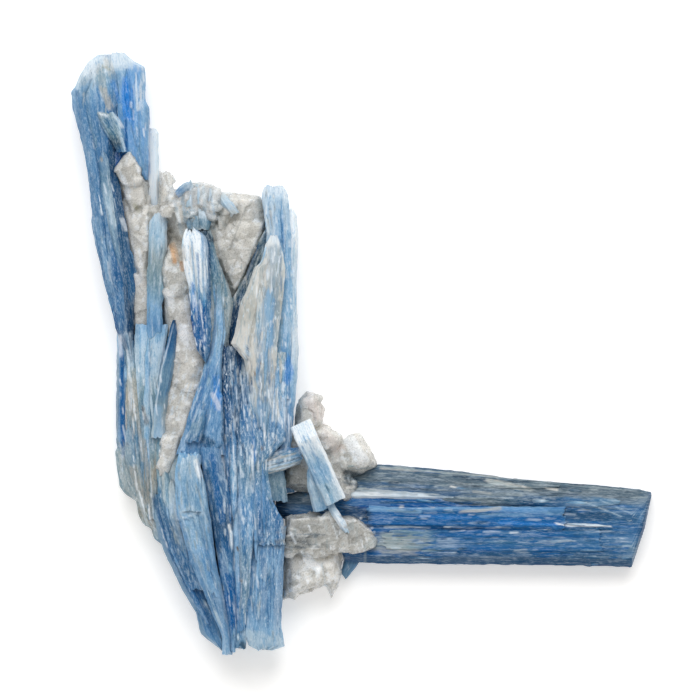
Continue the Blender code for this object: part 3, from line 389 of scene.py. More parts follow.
# The small leaning prism, with the facet at its raised end, and the chip beside its foot.
PRISM = [
    # The white of its raised end and of its right edge is painted light, where the lamp falls on the end
    # facet and that edge.
    blade([(0, -2.1, 2.3, 17.6, 16.4), (3.5, -2.2, 2.2, 20.2, 15.8), (17.4, -2.1, 2.1, 15.2, 10.8)], 0,
          "white white pale sky pale pale", edges=((0.3, 0.4), (0.7, 0.5)), turn=((60, 84.6), 24.9),
          ragged=(0, 0.5), contrast=0.55, splinters=0.3, flecks=0.4, sides=("", "white")),
    blade([(0, -1, 0.6, 15.6, 12.6), (4, -1.7, 1.4, 15, 11.4), (9.2, -1.4, 1.8, 12.6, 9.6)], 0,
          "sky pale pale sky", turn=((62.3, 93.2), 12), splinters=0, flecks=0.3),
]


def rock(outline, low, high, seed, crown=0.62):
    """One faceted lump, as in the part's source."""
    return {"outline": outline, "low": low, "high": high, "seed": seed, "crown": crown}


# The quartz between the blades of the bundle.
VEIN = [
    rock([(23.4, 33.4), (25.4, 31), (26.5, 30.3), (28.4, 33.8), (29.9, 36.4), (30.3, 42), (26.4, 46),
          (24, 40)], 3.4, 11.6, 1),
    rock([(24.6, 40), (30.4, 39), (30.8, 48), (30, 57), (28.6, 60), (26.4, 54)], 4, 12.4, 2),
    rock([(26.6, 54), (30.8, 54), (31, 66.4), (27, 67)], 5, 12.2, 3, crown=0.85),
    rock([(28.4, 41), (36, 41), (36.6, 62), (29.2, 62)], 7.6, 10.2, 4, crown=0.9),
    rock([(31.9, 34.2), (32.6, 34.5), (33.6, 37.6), (34.6, 39), (38.4, 43), (35, 47), (31.6, 44)], 4.4, 12.2,
         5),
    rock([(33, 39), (40, 38), (47.2, 39.3), (52.2, 39.2), (53.8, 43), (53.4, 46.6), (50.4, 50.4), (46, 53.6),
          (38, 52), (34, 47.6)], 7, 14.4, 6, crown=0.8),
    rock([(34.8, 38), (37.4, 36.8), (41, 36.6), (42.9, 36.9), (44.4, 39), (46.4, 43.2), (43.4, 46.6),
          (38, 46.8), (35.4, 43.6)], 8, 15.4, 7, crown=0.8),
    rock([(42, 44.6), (48, 42), (53.6, 43.6), (52.6, 48.4), (50.2, 53), (48, 58.6), (46.8, 60.2), (44.6, 57),
          (42.6, 51)], 7, 16, 8, crown=0.75),
    rock([(32.4, 51.6), (34.6, 47.6), (37.4, 48), (38.6, 54), (39, 58), (37.4, 61), (33.4, 61), (32.2, 56)],
         7, 15.4, 9, crown=0.72),
    rock([(32.8, 58.6), (38.4, 57.6), (39.4, 65), (39, 70), (35, 70), (33, 64)], 7, 14.9, 10, crown=0.8),
    rock([(34.6, 65), (39.4, 64), (41.6, 73), (40.8, 78.6), (33.4, 79), (33.8, 72)], 7, 15.3, 11, crown=0.8),
    rock([(32.8, 76), (40.8, 75.6), (39, 82), (37, 88.6), (32.4, 88.6), (32.6, 82)], 8.6, 15.4, 12,
         crown=0.8),
    rock([(32.4, 86), (36.6, 86), (36, 91), (33.8, 95.6), (31.6, 96.4), (31.8, 91)], 10.6, 16.4, 13,
         crown=0.75),
    rock([(22.9, 34.4), (23.5, 32.4), (25, 30.6), (26.2, 30.1), (27.3, 31.6), (28.6, 34), (27.6, 37.6),
          (24.2, 38)], 5, 12.8, 14, crown=0.86),
]

# Pale splinters of kyanite set in the quartz at the broken upper edge, and the line that the narrow lumps of
# quartz there follow.
SPLINTERS = [
    blade([(0, -0.5, 0.6, 15.9), (1.4, -0.9, 0.9, 16.4), (4.2, -0.8, 0.6, 16)], FRONT_BED,
          "silver steel blue royal", turn=((38.4, 36.4), -45)),
    blade([(36.2, 38, 38.8, 14.8), (38, 37.2, 38.9, 15.6), (42, 37.2, 38.8, 15.8)], FRONT_BED,
          "milk pale silver grey", ragged=(0.8, 0.8), contrast=0.3),
    blade([(36.5, 39.3, 40.2, 14.6), (38, 39.2, 40.5, 15.6), (41.4, 39.5, 40.7, 15.9)], FRONT_BED,
          "milk silver pale silver", ragged=(0.8, 0.8), contrast=0.3),
    blade([(36.9, 42, 42.8, 14.8), (38.4, 41.6, 43.2, 15.7), (41.4, 41.6, 42.8, 15.9)], FRONT_BED,
          "grey milk silver grey", ragged=(0.8, 0.8), contrast=0.3),
    blade([(0, -0.8, 0.9, 15.2), (2.6, -1, 1, 16.4), (5.6, -0.9, 0.9, 16)], FRONT_BED,
          "milk pale silver pale", turn=((44, 38.8), 37), contrast=0.3, ragged=(0.4, 0.8)),
    blade([(41.8, 37.4, 42.3, 15.4), (43.4, 37.2, 42.7, 15.7), (46.2, 37.8, 42, 15.5)], FRONT_BED,
          "grey silver steel grey", contrast=0.6, ragged=(0.9, 0.3)),
]
SPLINTER_FAN = [(35.0, 38.6), (36.6, 38.0), (39.2, 37.6), (41.6, 37.4), (43.6, 38.2), (45.2, 40.4)]

# The knobs of quartz above the side blade.
UPPER_KNOBS = [
    rock([(59.2, 80.8), (60.2, 79.6), (61.4, 78), (62.6, 78.4), (63.8, 80), (65.1, 81.8), (65, 83.2),
          (64.2, 85.2), (61.8, 87.6), (58.8, 86)], 5, 13.2, 21),
    rock([(62.4, 85.6), (64.4, 84.8), (65.8, 85.9), (68.4, 87), (68.6, 88.3), (66.8, 91.4), (63, 91.4)], 3.6,
         12.6, 22),
    rock([(65, 90.4), (68.6, 88), (70.2, 86.6), (71.9, 86.6), (73.3, 88.4), (74.4, 89.9), (74, 91.6),
          (75.6, 93), (72, 95), (67, 95.6)], 1, 11.4, 23),
    rock([(57.6, 86), (62, 85), (66, 88.6), (70, 92), (69.6, 97.6), (62, 98.6), (56.8, 97.6)], 0.8, 10.4, 24,
         crown=0.75),
    rock([(67.6, 94), (70.4, 94.4), (70.2, 99.6), (68, 99.6)], 5, 10.2, 25),
]

# The crust and points of quartz in front of the joint.
LOWER_CRUST = [
    rock([(57, 103.2), (61.8, 102.2), (67, 102.6), (70, 103.6), (70.4, 110), (64, 111.6), (56.6, 111)], 2,
         12.4, 31, crown=0.8),
    rock([(66.4, 102.9), (70.8, 103.2), (72.2, 104), (73.6, 105.4), (74.9, 106.5), (75.6, 108.2),
          (75, 109.5), (72.4, 109.8), (70.6, 110.7), (66, 110)], 7, 11.2, 32, crown=0.85),
    rock([(56, 109), (62, 108), (68.5, 109.8), (68.3, 112.6), (67.4, 116.4), (63.2, 117.2), (60.4, 118.6),
          (56, 120.2)], 1.8, 10.2, 33, crown=0.75),
    rock([(64.2, 111), (68.4, 111), (68.3, 114.6), (67.8, 116.8), (66.2, 119.9), (65, 116.4)], 3, 8.8, 34),
    rock([(57.2, 106.8), (61.6, 106.8), (61.6, 109.8), (57.2, 109.8)], 8, 12.9, 35, crown=0.9),
]

# Marks seen from above: colour, strength, width, then x and y of each point of the line that it follows.
STROKES = [
    ("royal", 0.8, 1.2, 46.2, 117, 46.8, 124), ("vivid", 0.5, 0.5, 46.4, 118, 46.8, 123),
    # The pale mark is a painted highlight along the lit edge of the ledge on the front blade.
    ("pale", 0.6, 1, 36.4, 102.4, 38.4, 101.4, 40.4, 102.6), ("ink", 0.7, 0.5, 69, 95.6, 84, 96.4),
    ("ink", 0.6, 0.4, 70, 96.8, 90, 98), ("ink", 0.6, 0.9, 69, 94.6, 72.4, 95),
    ("grey", 0.6, 0.4, 69, 95, 86, 96.2), ("beige", 0.6, 0.5, 76, 93.6, 104, 95.6),
    ("navy", 0.7, 0.5, 76, 100.4, 96, 100.4), ("grey", 0.55, 4, 74.6, 108.4, 80, 108.4),
    ("beige", 0.4, 1.6, 75, 109.8, 83, 110.2), ("royal", 0.85, 1.6, 80, 103.4, 112, 103.8),
    ("navy", 0.5, 0.7, 88, 104.2, 104, 104.6), ("navy", 0.35, 1.4, 80, 102.4, 100, 103),
    ("steel", 0.45, 4.6, 37.8, 94, 40.4, 107), ("mid", 0.5, 1.6, 43.2, 75.4, 43.4, 82),
    ("mid", 0.35, 6.6, 54, 78, 54, 88), ("steel", 0.4, 2.4, 54.6, 56, 54.4, 65),
    ("deep", 0.3, 4, 34.8, 104.4, 38, 114),
    ("royal", 0.35, 1.3, 31, 99.6, 33.8, 107, 37, 113.4, 41.2, 123.6),
    ("slate", 0.35, 1.2, 34, 106, 38.8, 117), ("royal", 0.7, 1.5, 46.3, 115, 46.8, 119, 47, 124),
    ("navy", 0.5, 0.6, 72, 106.2, 76, 106.6), ("slate", 0.85, 1.8, 57.6, 108, 61, 108.2),
    ("milk", 0.7, 2.2, 58.6, 104.4, 65, 104),
    ("white", 0.55, 0.5, 60, 105.4, 62.4, 104.6, 65, 105.2, 66, 107.4),
    ("white", 0.55, 0.4, 62.6, 107.8, 64.6, 106.6, 66.6, 108.4),
    ("white", 0.6, 0.5, 67, 104.6, 69.8, 105.2, 72.4, 107.4), ("white", 0.5, 0.5, 68.4, 108.4, 71.6, 108.8),
    ("white", 0.6, 1.4, 61, 113.4, 64.4, 112.4), ("milk", 0.5, 3, 59, 112, 66, 113),
    ("silver", 0.5, 0.5, 64.4, 112.6, 65.2, 117.6), ("teal", 0.4, 1.6, 122, 108.6, 128.6, 110),
    ("steel", 0.4, 1.6, 114, 111.2, 127, 111.8), ("vivid", 0.6, 1.2, 97, 103.8, 111, 104.6),
    ("azure", 0.45, 1, 100, 101.8, 109, 102.2), ("vivid", 0.35, 1.2, 84, 103.2, 97, 103.6),
    ("grey", 0.4, 2.2, 17.2, 16.4, 19.4, 13.2), ("beige", 0.35, 1.8, 19.4, 14.2, 21.8, 12.8),
    ("teal", 0.3, 2, 20, 15.6, 23.2, 16.4), ("steel", 0.4, 1.4, 17.4, 19, 18.6, 26),
    ("ink", 0.55, 0.35, 57.4, 107.2, 61.6, 107.3), ("ink", 0.55, 0.35, 57.6, 108.4, 61.8, 108.6),
    ("blue", 0.75, 0.3, 38.6, 48.4, 39.4, 60), ("blue", 0.7, 0.4, 40.6, 47.4, 41, 60),
    ("royal", 0.6, 0.3, 39.8, 51, 40.2, 62), ("sky", 0.6, 0.3, 37.6, 48, 38.4, 57),
    ("silver", 0.45, 5.6, 36.6, 38.4, 43.6, 39.4), ("silver", 0.5, 1.8, 37.6, 42.4, 44, 43.4),
    ("pale", 0.6, 0.9, 36.6, 39, 37.2, 44.6), ("silver", 0.6, 0.9, 38.2, 37.4, 38.6, 42.6),
    ("pale", 0.5, 0.8, 40.8, 37.4, 41.2, 42.4), ("sky", 0.4, 0.7, 42.2, 38, 43, 43),
    ("pale", 0.45, 1.2, 35.4, 41, 36.4, 46.6), ("grey", 0.5, 1.6, 43.6, 41, 45, 45),
    ("silver", 0.4, 2.2, 54.4, 39, 54.8, 52), ("steel", 0.5, 3, 55.2, 50.4, 54.8, 68),
    ("steel", 0.45, 2.2, 53.8, 59, 53.4, 76), ("grey", 0.4, 1.2, 52.6, 50, 52.2, 60),
    ("blue", 0.55, 0.7, 54.6, 58, 54, 74), ("sky", 0.5, 1.2, 53.2, 58, 52.8, 72),
    ("steel", 0.5, 0.6, 52, 62, 51.4, 76), ("mid", 0.35, 5, 34, 104, 38.6, 122),
    # The cap of the tall blade, and the bright strips beside it, whose thin silver lines are a painted
    # sheen.
    ("silver", 0.8, 4.2, 17.8, 14.4, 20.4, 12.6, 23.6, 12), ("silver", 0.7, 2.4, 23, 12.6, 28.6, 13.6),
    ("grey", 0.6, 2, 20.2, 14.2, 20.8, 17.6), ("beige", 0.5, 1.6, 21.6, 12.6, 22.4, 15),
    ("olive", 0.5, 0.8, 20.8, 13.4, 22, 14), ("beige", 0.7, 1.8, 20.8, 18.2, 22, 21.4),
    ("blue", 0.6, 2.4, 23.4, 15.6, 23.6, 20), ("vivid", 0.5, 1.2, 22.8, 16.6, 24, 20.4),
    ("azure", 0.8, 4.6, 27.2, 15.4, 27.8, 34), ("vivid", 0.9, 1.8, 25.2, 15.8, 25.6, 23.6),
    ("vivid", 0.6, 0.8, 26.4, 18, 26.8, 26), ("sky", 0.7, 1.2, 28.6, 15, 28.8, 25),
    # Painted sheen along the lit facet of the second blade.
    ("silver", 0.8, 0.6, 27.3, 15, 27.6, 22), ("silver", 0.6, 0.3, 28.3, 16, 28.5, 23),
    ("blue", 0.6, 2.4, 27.6, 26, 28.6, 34), ("lavender", 0.6, 0.3, 30, 24, 29.9, 35),
    ("royal", 0.9, 0.6, 25.2, 24, 25.5, 30), ("white", 0.8, 0.7, 20, 22.9, 21.6, 23.4),
    ("white", 0.8, 0.6, 23.6, 23.6, 24.6, 25.6), ("pale", 0.7, 0.3, 23.4, 23.2, 25.2, 30),
    # The tall blade: deep strips on its left, white lenses, and the dark facet on its right.
    ("deep", 0.6, 1.2, 15.6, 18.4, 17, 25), ("deep", 0.5, 1, 17.2, 26, 18.6, 34),
    ("mid", 0.5, 2.4, 17.6, 22, 19.4, 38), ("silver", 0.9, 0.5, 21, 37, 21.5, 39),
    ("silver", 0.9, 0.5, 22.5, 37, 23, 38.4), ("silver", 0.9, 0.4, 20.3, 41, 20.6, 43),
    ("silver", 0.8, 0.3, 21.6, 35.2, 22, 37), ("silver", 0.7, 0.3, 23, 40, 23.4, 42),
    ("silver", 0.8, 0.3, 20, 39.2, 20.2, 40.4), ("silver", 0.6, 0.3, 22.3, 43, 22.6, 45),
    ("silver", 0.8, 0.4, 20.6, 47.4, 20.7, 48.6), ("silver", 0.8, 0.4, 24.8, 52.4, 24.9, 54.2),
    ("tan", 0.7, 0.5, 20.5, 31.8, 20.6, 32.2), ("deep", 0.6, 2.6, 24.4, 46, 26.8, 58),
    ("navy", 0.5, 1.6, 24.4, 46, 26, 62), ("sky", 0.35, 1.6, 19.6, 44, 22.4, 58),
    ("blue", 0.5, 2, 16.6, 20, 18.6, 34),
    # The quartz beside it and along the broken upper edge.
    ("olive", 0.5, 1.2, 27, 41.2, 27.6, 42.2), ("white", 0.7, 1.2, 24.8, 35.6, 26, 38.4),
    ("white", 0.6, 0.9, 24.6, 44, 25.2, 46), ("white", 0.6, 0.8, 28, 50, 28.4, 53),
    ("rust", 0.7, 1.6, 34.6, 49.4, 35.2, 52.2), ("rust", 0.6, 0.9, 36.4, 52.6, 36.6, 54),
    ("tan", 0.5, 2.4, 34.2, 46.6, 36.6, 51.6), ("mid", 0.7, 1.4, 35.4, 37.8, 37, 39),
    ("teal", 0.5, 2.4, 37.6, 43.2, 42.2, 45.2), ("slate", 0.5, 0.4, 38, 42.6, 38.6, 45.8),
    ("slate", 0.5, 0.4, 39.6, 42.6, 40.2, 45.8), ("beige", 0.6, 5, 46, 44, 51, 47),
    ("smoke", 0.7, 1.4, 51.4, 50.4, 48.4, 57), ("smoke", 0.7, 0.4, 44, 43, 47.6, 48.4),
    ("smoke", 0.6, 0.4, 49.2, 42, 46, 50), ("smoke", 0.6, 1.6, 44.6, 50.4, 45.8, 55.6),
    # The bright blade in the middle, with a painted sheen as its white streak, and the dark diagonal one
    # with its parallel lines.
    ("sky", 0.6, 0.4, 38.4, 48, 39, 57), ("sky", 0.6, 0.3, 40.4, 49, 40.8, 58),
    # The white streak: painted sheen on the bright blade.
    ("blue", 0.5, 0.3, 39.5, 51, 40, 58), ("white", 0.8, 1, 37.6, 47.6, 38.2, 56),
    ("navy", 0.7, 0.6, 41.9, 48, 42.2, 60), ("vivid", 0.5, 0.9, 38.6, 57, 39.4, 62),
    ("ink", 0.7, 1.4, 41, 46.6, 42.2, 48), ("navy", 0.7, 0.7, 51.6, 49.4, 47, 62.4),
    ("grey", 0.7, 0.3, 52.6, 49.6, 47.6, 63), ("grey", 0.6, 0.3, 50.6, 50, 46.4, 61.4),
    ("ink", 0.6, 0.8, 47.6, 61, 45.6, 69),
    # The right side: blue stripes under the pale coating, rust specks, a bright patch.
    ("silver", 0.8, 2.6, 53, 37.8, 57.6, 38.4), ("sky", 0.8, 1.8, 54, 58.6, 54.2, 69),
    ("blue", 0.7, 0.9, 54.8, 60, 54.5, 69), ("blue", 0.6, 0.8, 52.4, 66, 51.6, 76),
    ("brown", 0.7, 0.5, 52.2, 72.4, 52.3, 72.8), ("brown", 0.7, 0.5, 51, 74.6, 51.1, 75),
    ("brown", 0.7, 0.5, 52.4, 89.2, 52.5, 89.6), ("vivid", 0.6, 1.7, 57.8, 71.8, 57.8, 76),
    ("deep", 0.5, 0.5, 56.2, 48, 56.3, 58), ("silver", 0.6, 1.2, 54, 78, 56, 84),
    ("blue", 0.6, 1.5, 52, 80, 53, 88), ("vivid", 0.4, 0.8, 50.8, 84, 51, 92),
    ("silver", 0.6, 0.8, 56.8, 80, 57.2, 86), ("deep", 0.6, 0.7, 55.4, 84.6, 54.6, 92),
    # The leaf and the quartz beside it.
    ("silver", 0.6, 0.3, 34.9, 65, 32.6, 73.6, 31.3, 82), ("deep", 0.6, 1.4, 35.2, 65.4, 34.6, 70),
    ("sky", 0.6, 2, 31.8, 82, 32, 87), ("white", 0.7, 1.8, 36.4, 65.4, 37.4, 68.8),
    ("smoke", 0.6, 1.2, 36.6, 78.4, 38.2, 79.4),
    # The light diagonal blade and the dark, scratched one beside it.
    ("vivid", 0.55, 1.6, 43.4, 75.4, 43.8, 81.6), ("lavender", 0.7, 1.3, 42.8, 79, 43.8, 81.4),
    ("navy", 0.7, 0.6, 44.8, 69, 44.8, 88), ("navy", 0.8, 1.8, 40.4, 87.6, 42.2, 88.6),
    ("royal", 0.5, 0.9, 41.8, 74, 38.6, 84), ("silver", 0.8, 0.4, 46.4, 85, 46.7, 90),
    ("silver", 0.8, 0.5, 46.8, 89, 47, 94), ("silver", 0.6, 0.3, 46.2, 72, 46.6, 79),
    ("silver", 0.6, 0.3, 48.2, 74, 48.8, 80), ("navy", 0.5, 1, 47.4, 70, 48.4, 82),
    # The left flank, from the outer blade down to the tan strip.
    ("white", 0.6, 0.6, 25.6, 70, 27.4, 84), ("beige", 0.6, 0.9, 26.8, 76, 28.8, 92),
    ("pale", 0.6, 1.6, 25.8, 67, 26.4, 73), ("royal", 0.9, 1, 24.6, 71.4, 24.8, 91),
    ("lavender", 0.7, 0.8, 24.2, 67.4, 24.4, 71), ("grey", 0.5, 0.7, 23.6, 70, 23.6, 90),
    ("grey", 0.6, 4, 25, 90, 27.6, 99), ("tan", 0.5, 2, 27, 94, 29, 100),
    ("tan", 0.6, 0.8, 29.2, 88, 30.6, 108), ("silver", 0.5, 0.3, 29.8, 88, 31, 106),
    ("brown", 0.5, 1, 29, 81.4, 29.6, 84.6),
    # The blades in front: a ledge drawn as a painted highlight above a line of painted shade, painted shade
    # in the gap between two of them, a white crack, lenses and specks.
    # The silver and navy ledge lines are painted highlight and painted shade; the later navy band is painted
    # shade in a gap.
    ("white", 0.8, 1.1, 39.4, 92, 40.2, 95), ("silver", 0.6, 0.4, 35.4, 103.5, 38, 103, 40, 102),
    ("navy", 0.5, 0.3, 35.4, 104.1, 38, 103.6, 40, 102.6), ("navy", 0.8, 0.9, 41.6, 94, 43, 101, 44.2, 110),
    ("royal", 0.6, 1.4, 42.4, 91, 44.6, 104), ("silver", 0.6, 0.3, 41.2, 95.4, 43, 95.3, 45, 95.5),
    ("white", 0.9, 0.8, 46, 105, 46.4, 109), ("royal", 0.9, 1.2, 45.4, 115, 46.6, 122, 46.8, 125),
    ("brown", 0.9, 0.6, 47.6, 109.2, 47.7, 109.6), ("brown", 0.8, 0.6, 48.2, 115.6, 48.6, 116),
    ("navy", 0.6, 0.9, 51, 108.2, 57.4, 108.2), ("pale", 0.7, 2.6, 49.6, 127, 56.6, 127.8),
    ("ink", 0.7, 0.8, 48.4, 128.4, 49.4, 129.4), ("navy", 0.5, 2.2, 31.4, 100, 38, 115),
    ("deep", 0.5, 2, 36, 110, 43, 126),
    # The sideways stub and the prism.
    ("beige", 0.8, 0.5, 53, 92.2, 59, 90.6), ("beige", 0.8, 0.5, 54, 93.8, 60, 92.2),
    ("ink", 0.6, 0.5, 53.6, 93, 60, 91.4), ("blue", 0.6, 0.3, 61.9, 88.6, 65.2, 95.8),
    ("mid", 0.5, 0.3, 60.6, 89.2, 64, 96.8), ("blue", 0.5, 0.3, 60, 89.4, 63.2, 96.8),
    ("sky", 0.6, 0.3, 59.4, 85.4, 61, 89), ("sky", 0.6, 0.3, 60.6, 84.6, 62.2, 88.4),
    # Painted highlight along the prism's lit right edge.
    ("white", 0.8, 0.4, 63, 86.8, 68, 97.4),
    # The knobs and the crust of quartz at the joint.
    ("blush", 0.7, 3, 62, 79.8, 63.8, 83), ("blush", 0.5, 3, 65, 87, 67.6, 89.4),
    ("white", 0.6, 3, 70, 88, 72.4, 92), ("smoke", 0.6, 7, 59, 106.6, 71, 107),
    ("smoke", 0.8, 2.4, 58, 108.4, 61, 108.6), ("ink", 0.5, 0.4, 57.8, 108, 61.2, 108.2),
    ("ink", 0.5, 0.4, 57.8, 109.2, 61.2, 109.4), ("smoke", 0.6, 0.4, 60, 104.4, 66, 105.6),
    ("smoke", 0.6, 0.4, 62, 107.4, 68, 107), ("smoke", 0.7, 0.5, 69, 105.2, 72, 105, 74.6, 106.8),
    # The broad white mark on the lower lump is a painted highlight, a flash of the lamp on its smooth face.
    ("white", 0.7, 0.4, 66, 103.4, 67.6, 107.6), ("white", 0.9, 1.8, 61.4, 111.6, 63.6, 113.6),
    # The side blade: its slate upper facet, the deep stripe, chipped white edges, the dark end, and painted
    # shade along its lower edge and under the crust.
    ("slate", 0.8, 3.2, 70, 95.4, 100, 96.6, 127, 98.8), ("beige", 0.7, 1.4, 97.6, 96.2, 106, 97.9),
    ("grey", 0.7, 1.2, 92, 99.4, 98, 98.8, 104, 99), ("beige", 0.7, 1, 92, 102.2, 100, 101.6),
    ("milk", 0.8, 0.6, 94.6, 98.2, 98, 98.6), ("slate", 0.6, 2.4, 72, 97.6, 112, 98.6),
    ("grey", 0.6, 0.3, 70, 93.9, 76, 93.3, 100, 95.5, 125, 98), ("navy", 0.6, 0.5, 72, 96.6, 88, 97.2),
    ("navy", 0.6, 0.5, 86, 99, 112, 99.6), ("grey", 0.8, 0.9, 98, 96.4, 106, 98),
    ("milk", 0.8, 0.5, 90.2, 97.2, 91, 97.4), ("milk", 0.8, 0.5, 104.4, 97.2, 105, 97.3),
    ("milk", 0.8, 0.5, 109, 97.6, 111.4, 97.9), ("milk", 0.8, 0.5, 80, 101.2, 80.6, 101.2),
    ("milk", 0.8, 0.5, 86, 101.4, 86.8, 101.4), ("ink", 0.7, 3, 69.4, 102, 73, 103),
    ("sky", 0.6, 0.9, 74, 102, 84, 102.2), ("royal", 0.9, 2.4, 76, 104.5, 112, 104.7),
    ("royal", 0.6, 1, 90, 102.8, 110, 103), ("navy", 0.5, 0.6, 76, 105, 110, 105.6),
    ("silver", 0.9, 0.4, 77, 105.3, 86, 105.4), ("silver", 0.9, 0.4, 89, 105.3, 95, 105.4),
    ("silver", 0.8, 0.4, 102, 106.4, 104, 106.4), ("silver", 0.8, 0.4, 106.4, 106.9, 113, 107.4),
    ("white", 0.9, 0.4, 111, 104.6, 113.6, 105, 122, 105.2), ("navy", 0.8, 0.6, 111.6, 105.8, 122, 105.8),
    ("blue", 0.7, 0.9, 96, 103, 110, 102.6), ("vivid", 0.5, 0.9, 100, 104.4, 111, 104.8),
    ("navy", 0.8, 3, 114.4, 102.8, 121, 103.2), ("silver", 0.8, 0.4, 112.6, 108, 115, 108),
    ("grey", 0.7, 3.4, 77, 108, 85, 108), ("olive", 0.6, 0.9, 79.6, 107, 80.4, 107),
    ("deep", 0.6, 3, 92, 108.2, 124, 108.4), ("royal", 0.6, 0.6, 88, 107, 120, 107.2),
    ("royal", 0.5, 0.5, 96, 109.4, 124, 109.6), ("silver", 0.7, 0.3, 86, 110.4, 91.2, 110.4),
    # The navy band is painted shade on the lower facet, and the royal mark painted shadow under the crust
    # lobe.
    ("navy", 0.6, 2, 72, 111.9, 126, 112.2), ("royal", 0.8, 1.4, 69, 110.2, 75.6, 110.4),
    ("navy", 0.6, 1.6, 113, 102.6, 127, 103.6), ("pale", 0.7, 0.3, 120, 100, 127, 103),
    ("pale", 0.6, 0.3, 117, 100.4, 124, 103.2), ("navy", 0.6, 1, 115, 111, 118, 111.6),
    ("navy", 0.7, 0.3, 129.8, 98.6, 129.2, 102, 127.6, 109, 126.4, 113.2),
]

# Short marks strewn over a part of the plan: colour, strength, number, its left, top, right and bottom, and
# how far they lean to the right for each millimetre down the plan, or None where they run across it.
STREWN = [
    ("steel", 0.5, 30, (29.6, 44, 33.6, 66), 0),
    ("silver", 0.5, 26, (29.6, 44, 33.6, 66), 0),
    ("grey", 0.8, 50, (48, 50, 57, 80), 0),
    ("silver", 0.7, 34, (52.6, 38, 58, 56), 0),
    ("silver", 0.55, 28, (16, 24, 28, 60), 0.17),
    ("navy", 0.4, 30, (16, 22, 28, 70), 0.17),
    ("white", 0.6, 14, (26.2, 14.6, 29.4, 26), 0.03),
    ("white", 0.8, 34, (37, 57, 42.4, 71), 0.1),
    ("navy", 0.5, 30, (37.4, 57, 42.4, 71), 0.1),
    ("silver", 0.8, 70, (44.4, 69, 50.6, 94), 0.04),
    ("navy", 0.7, 80, (44.4, 69, 50.6, 94), 0.04),
    ("white", 0.8, 110, (49.6, 75, 58.4, 92), 0),
    ("deep", 0.6, 80, (49.6, 73, 58.4, 92), 0),
    ("milk", 0.8, 60, (46.6, 54, 56.6, 80), 0),
    ("sky", 0.5, 30, (48, 66, 56, 78), 0),
    ("white", 0.8, 40, (51, 38, 59.6, 70), 0),
    ("silver", 0.7, 46, (34, 72, 45, 87), -0.35),
    ("deep", 0.6, 40, (34, 72, 45, 90), -0.35),
    ("silver", 0.8, 70, (45, 92, 52, 124), 0.02),
    ("deep", 0.6, 60, (45, 92, 57, 126), 0.02),
    ("sky", 0.8, 110, (49.6, 104, 57, 128), 0),
    ("pale", 0.7, 60, (35, 92, 45, 126), 0.3),
    ("grey", 0.7, 60, (34.6, 92, 42.4, 114), 0.15),
    ("deep", 0.5, 50, (35, 92, 45, 126), 0.3),
    ("white", 0.7, 60, (24, 66, 33.4, 108), 0.15),
    ("brown", 0.3, 30, (24, 84, 31, 106), 0.15),
    ("grey", 0.7, 70, (69, 93, 128, 99.6), None),
    ("ink", 0.6, 60, (69, 94, 126, 100), None),
    ("silver", 0.5, 40, (74, 100.6, 126, 111), None),
    ("royal", 0.8, 110, (76, 100.6, 126, 111.6), None),
    ("navy", 0.7, 80, (76, 104, 128, 113), None),
    ("white", 0.7, 20, (58.8, 83.6, 68.4, 99), 0.46),
    ("blue", 0.6, 16, (58.8, 86.6, 68.4, 99), 0.46),
    ("grey", 0.6, 26, (57, 103.4, 74, 110), 0),
    ("slate", 0.6, 16, (57.4, 106.6, 61.6, 109.6), None),
    ("white", 0.8, 30, (57, 103.4, 75, 116), 0.3),
]


def strewn():
    """The short marks as lines of the same form as the others."""
    chance = np.random.default_rng(5)
    made = []
    for colour, strength, number, (left, top, right, bottom), lean in STREWN:
        for _ in range(number):
            x, y = chance.uniform(left, right), chance.uniform(top, bottom)
            length, width = 0.5 + chance.exponential(0.9), chance.uniform(0.22, 0.5)
            run, fall = 1.5 * length, chance.normal(0.0, 0.04) * length
            if lean is not None:
                run, fall = (lean + chance.normal(0.0, 0.06)) * length, length
            made.append((colour, strength * chance.uniform(0.4, 1.0), width, x, y, x + run, y + fall))
    return made


MARKS = STROKES + strewn()


def gradient(names, share):
    """The colour at each share of the way through evenly spaced colours."""
    stops = np.array([PALETTE[name] for name in names.split()])
    places = np.linspace(0.0, 1.0, len(stops))
    return np.stack([np.interp(share, places, stops[:, i]) for i in range(3)], axis=-1)


def mix(colour, other, weight):
    """Colours changed towards another by weights from 0 to 1, one for each point."""
    return colour + (other - colour) * np.clip(weight, 0.0, 1.0)[..., None]


def toned(colour, amount):
    """A colour made deeper where the amount is below zero and milkier where it is above."""
    deeper = colour * DEEPER ** np.clip(-amount, 0.0, 1.5)[..., None]
    return mix(deeper, MILKY, 0.5 * np.clip(amount, 0.0, 1.5))


def stepped(chance, along, size, spacing):
    """Values from 0 to size that change at random places along a line."""
    places = along[0] + np.cumsum(chance.exponential(spacing, int((along[-1] - along[0]) / spacing) * 2 + 8))
    values = chance.uniform(0.0, size, len(places) + 1)
    return values[np.searchsorted(places, along)]


def strip_columns(chance, widest, fine):
    """Where a blade's top has points across it, as shares of its width, and the strip of each."""
    borders = [0.0]
    while borders[-1] < 1.0:
        borders.append(borders[-1] + chance.uniform(0.35, 1.65) * STRIP_WIDTH * fine / widest)
    borders = np.array(borders) / borders[-1]
    shares, strips = [], []
    for strip, (low, high) in enumerate(zip(borders, borders[1:])):
        inset = min(0.02 / widest, (high - low) * 0.1)
        count = max(1, round((high - low) * widest / (COLUMN_STEP * fine)))
        shares.extend(np.linspace(low + inset, high - inset, count + 1))
        strips.extend([strip] * (count + 1))
    shares[0], shares[-1] = 0.0, 1.0
    return np.array(shares), np.array(strips)


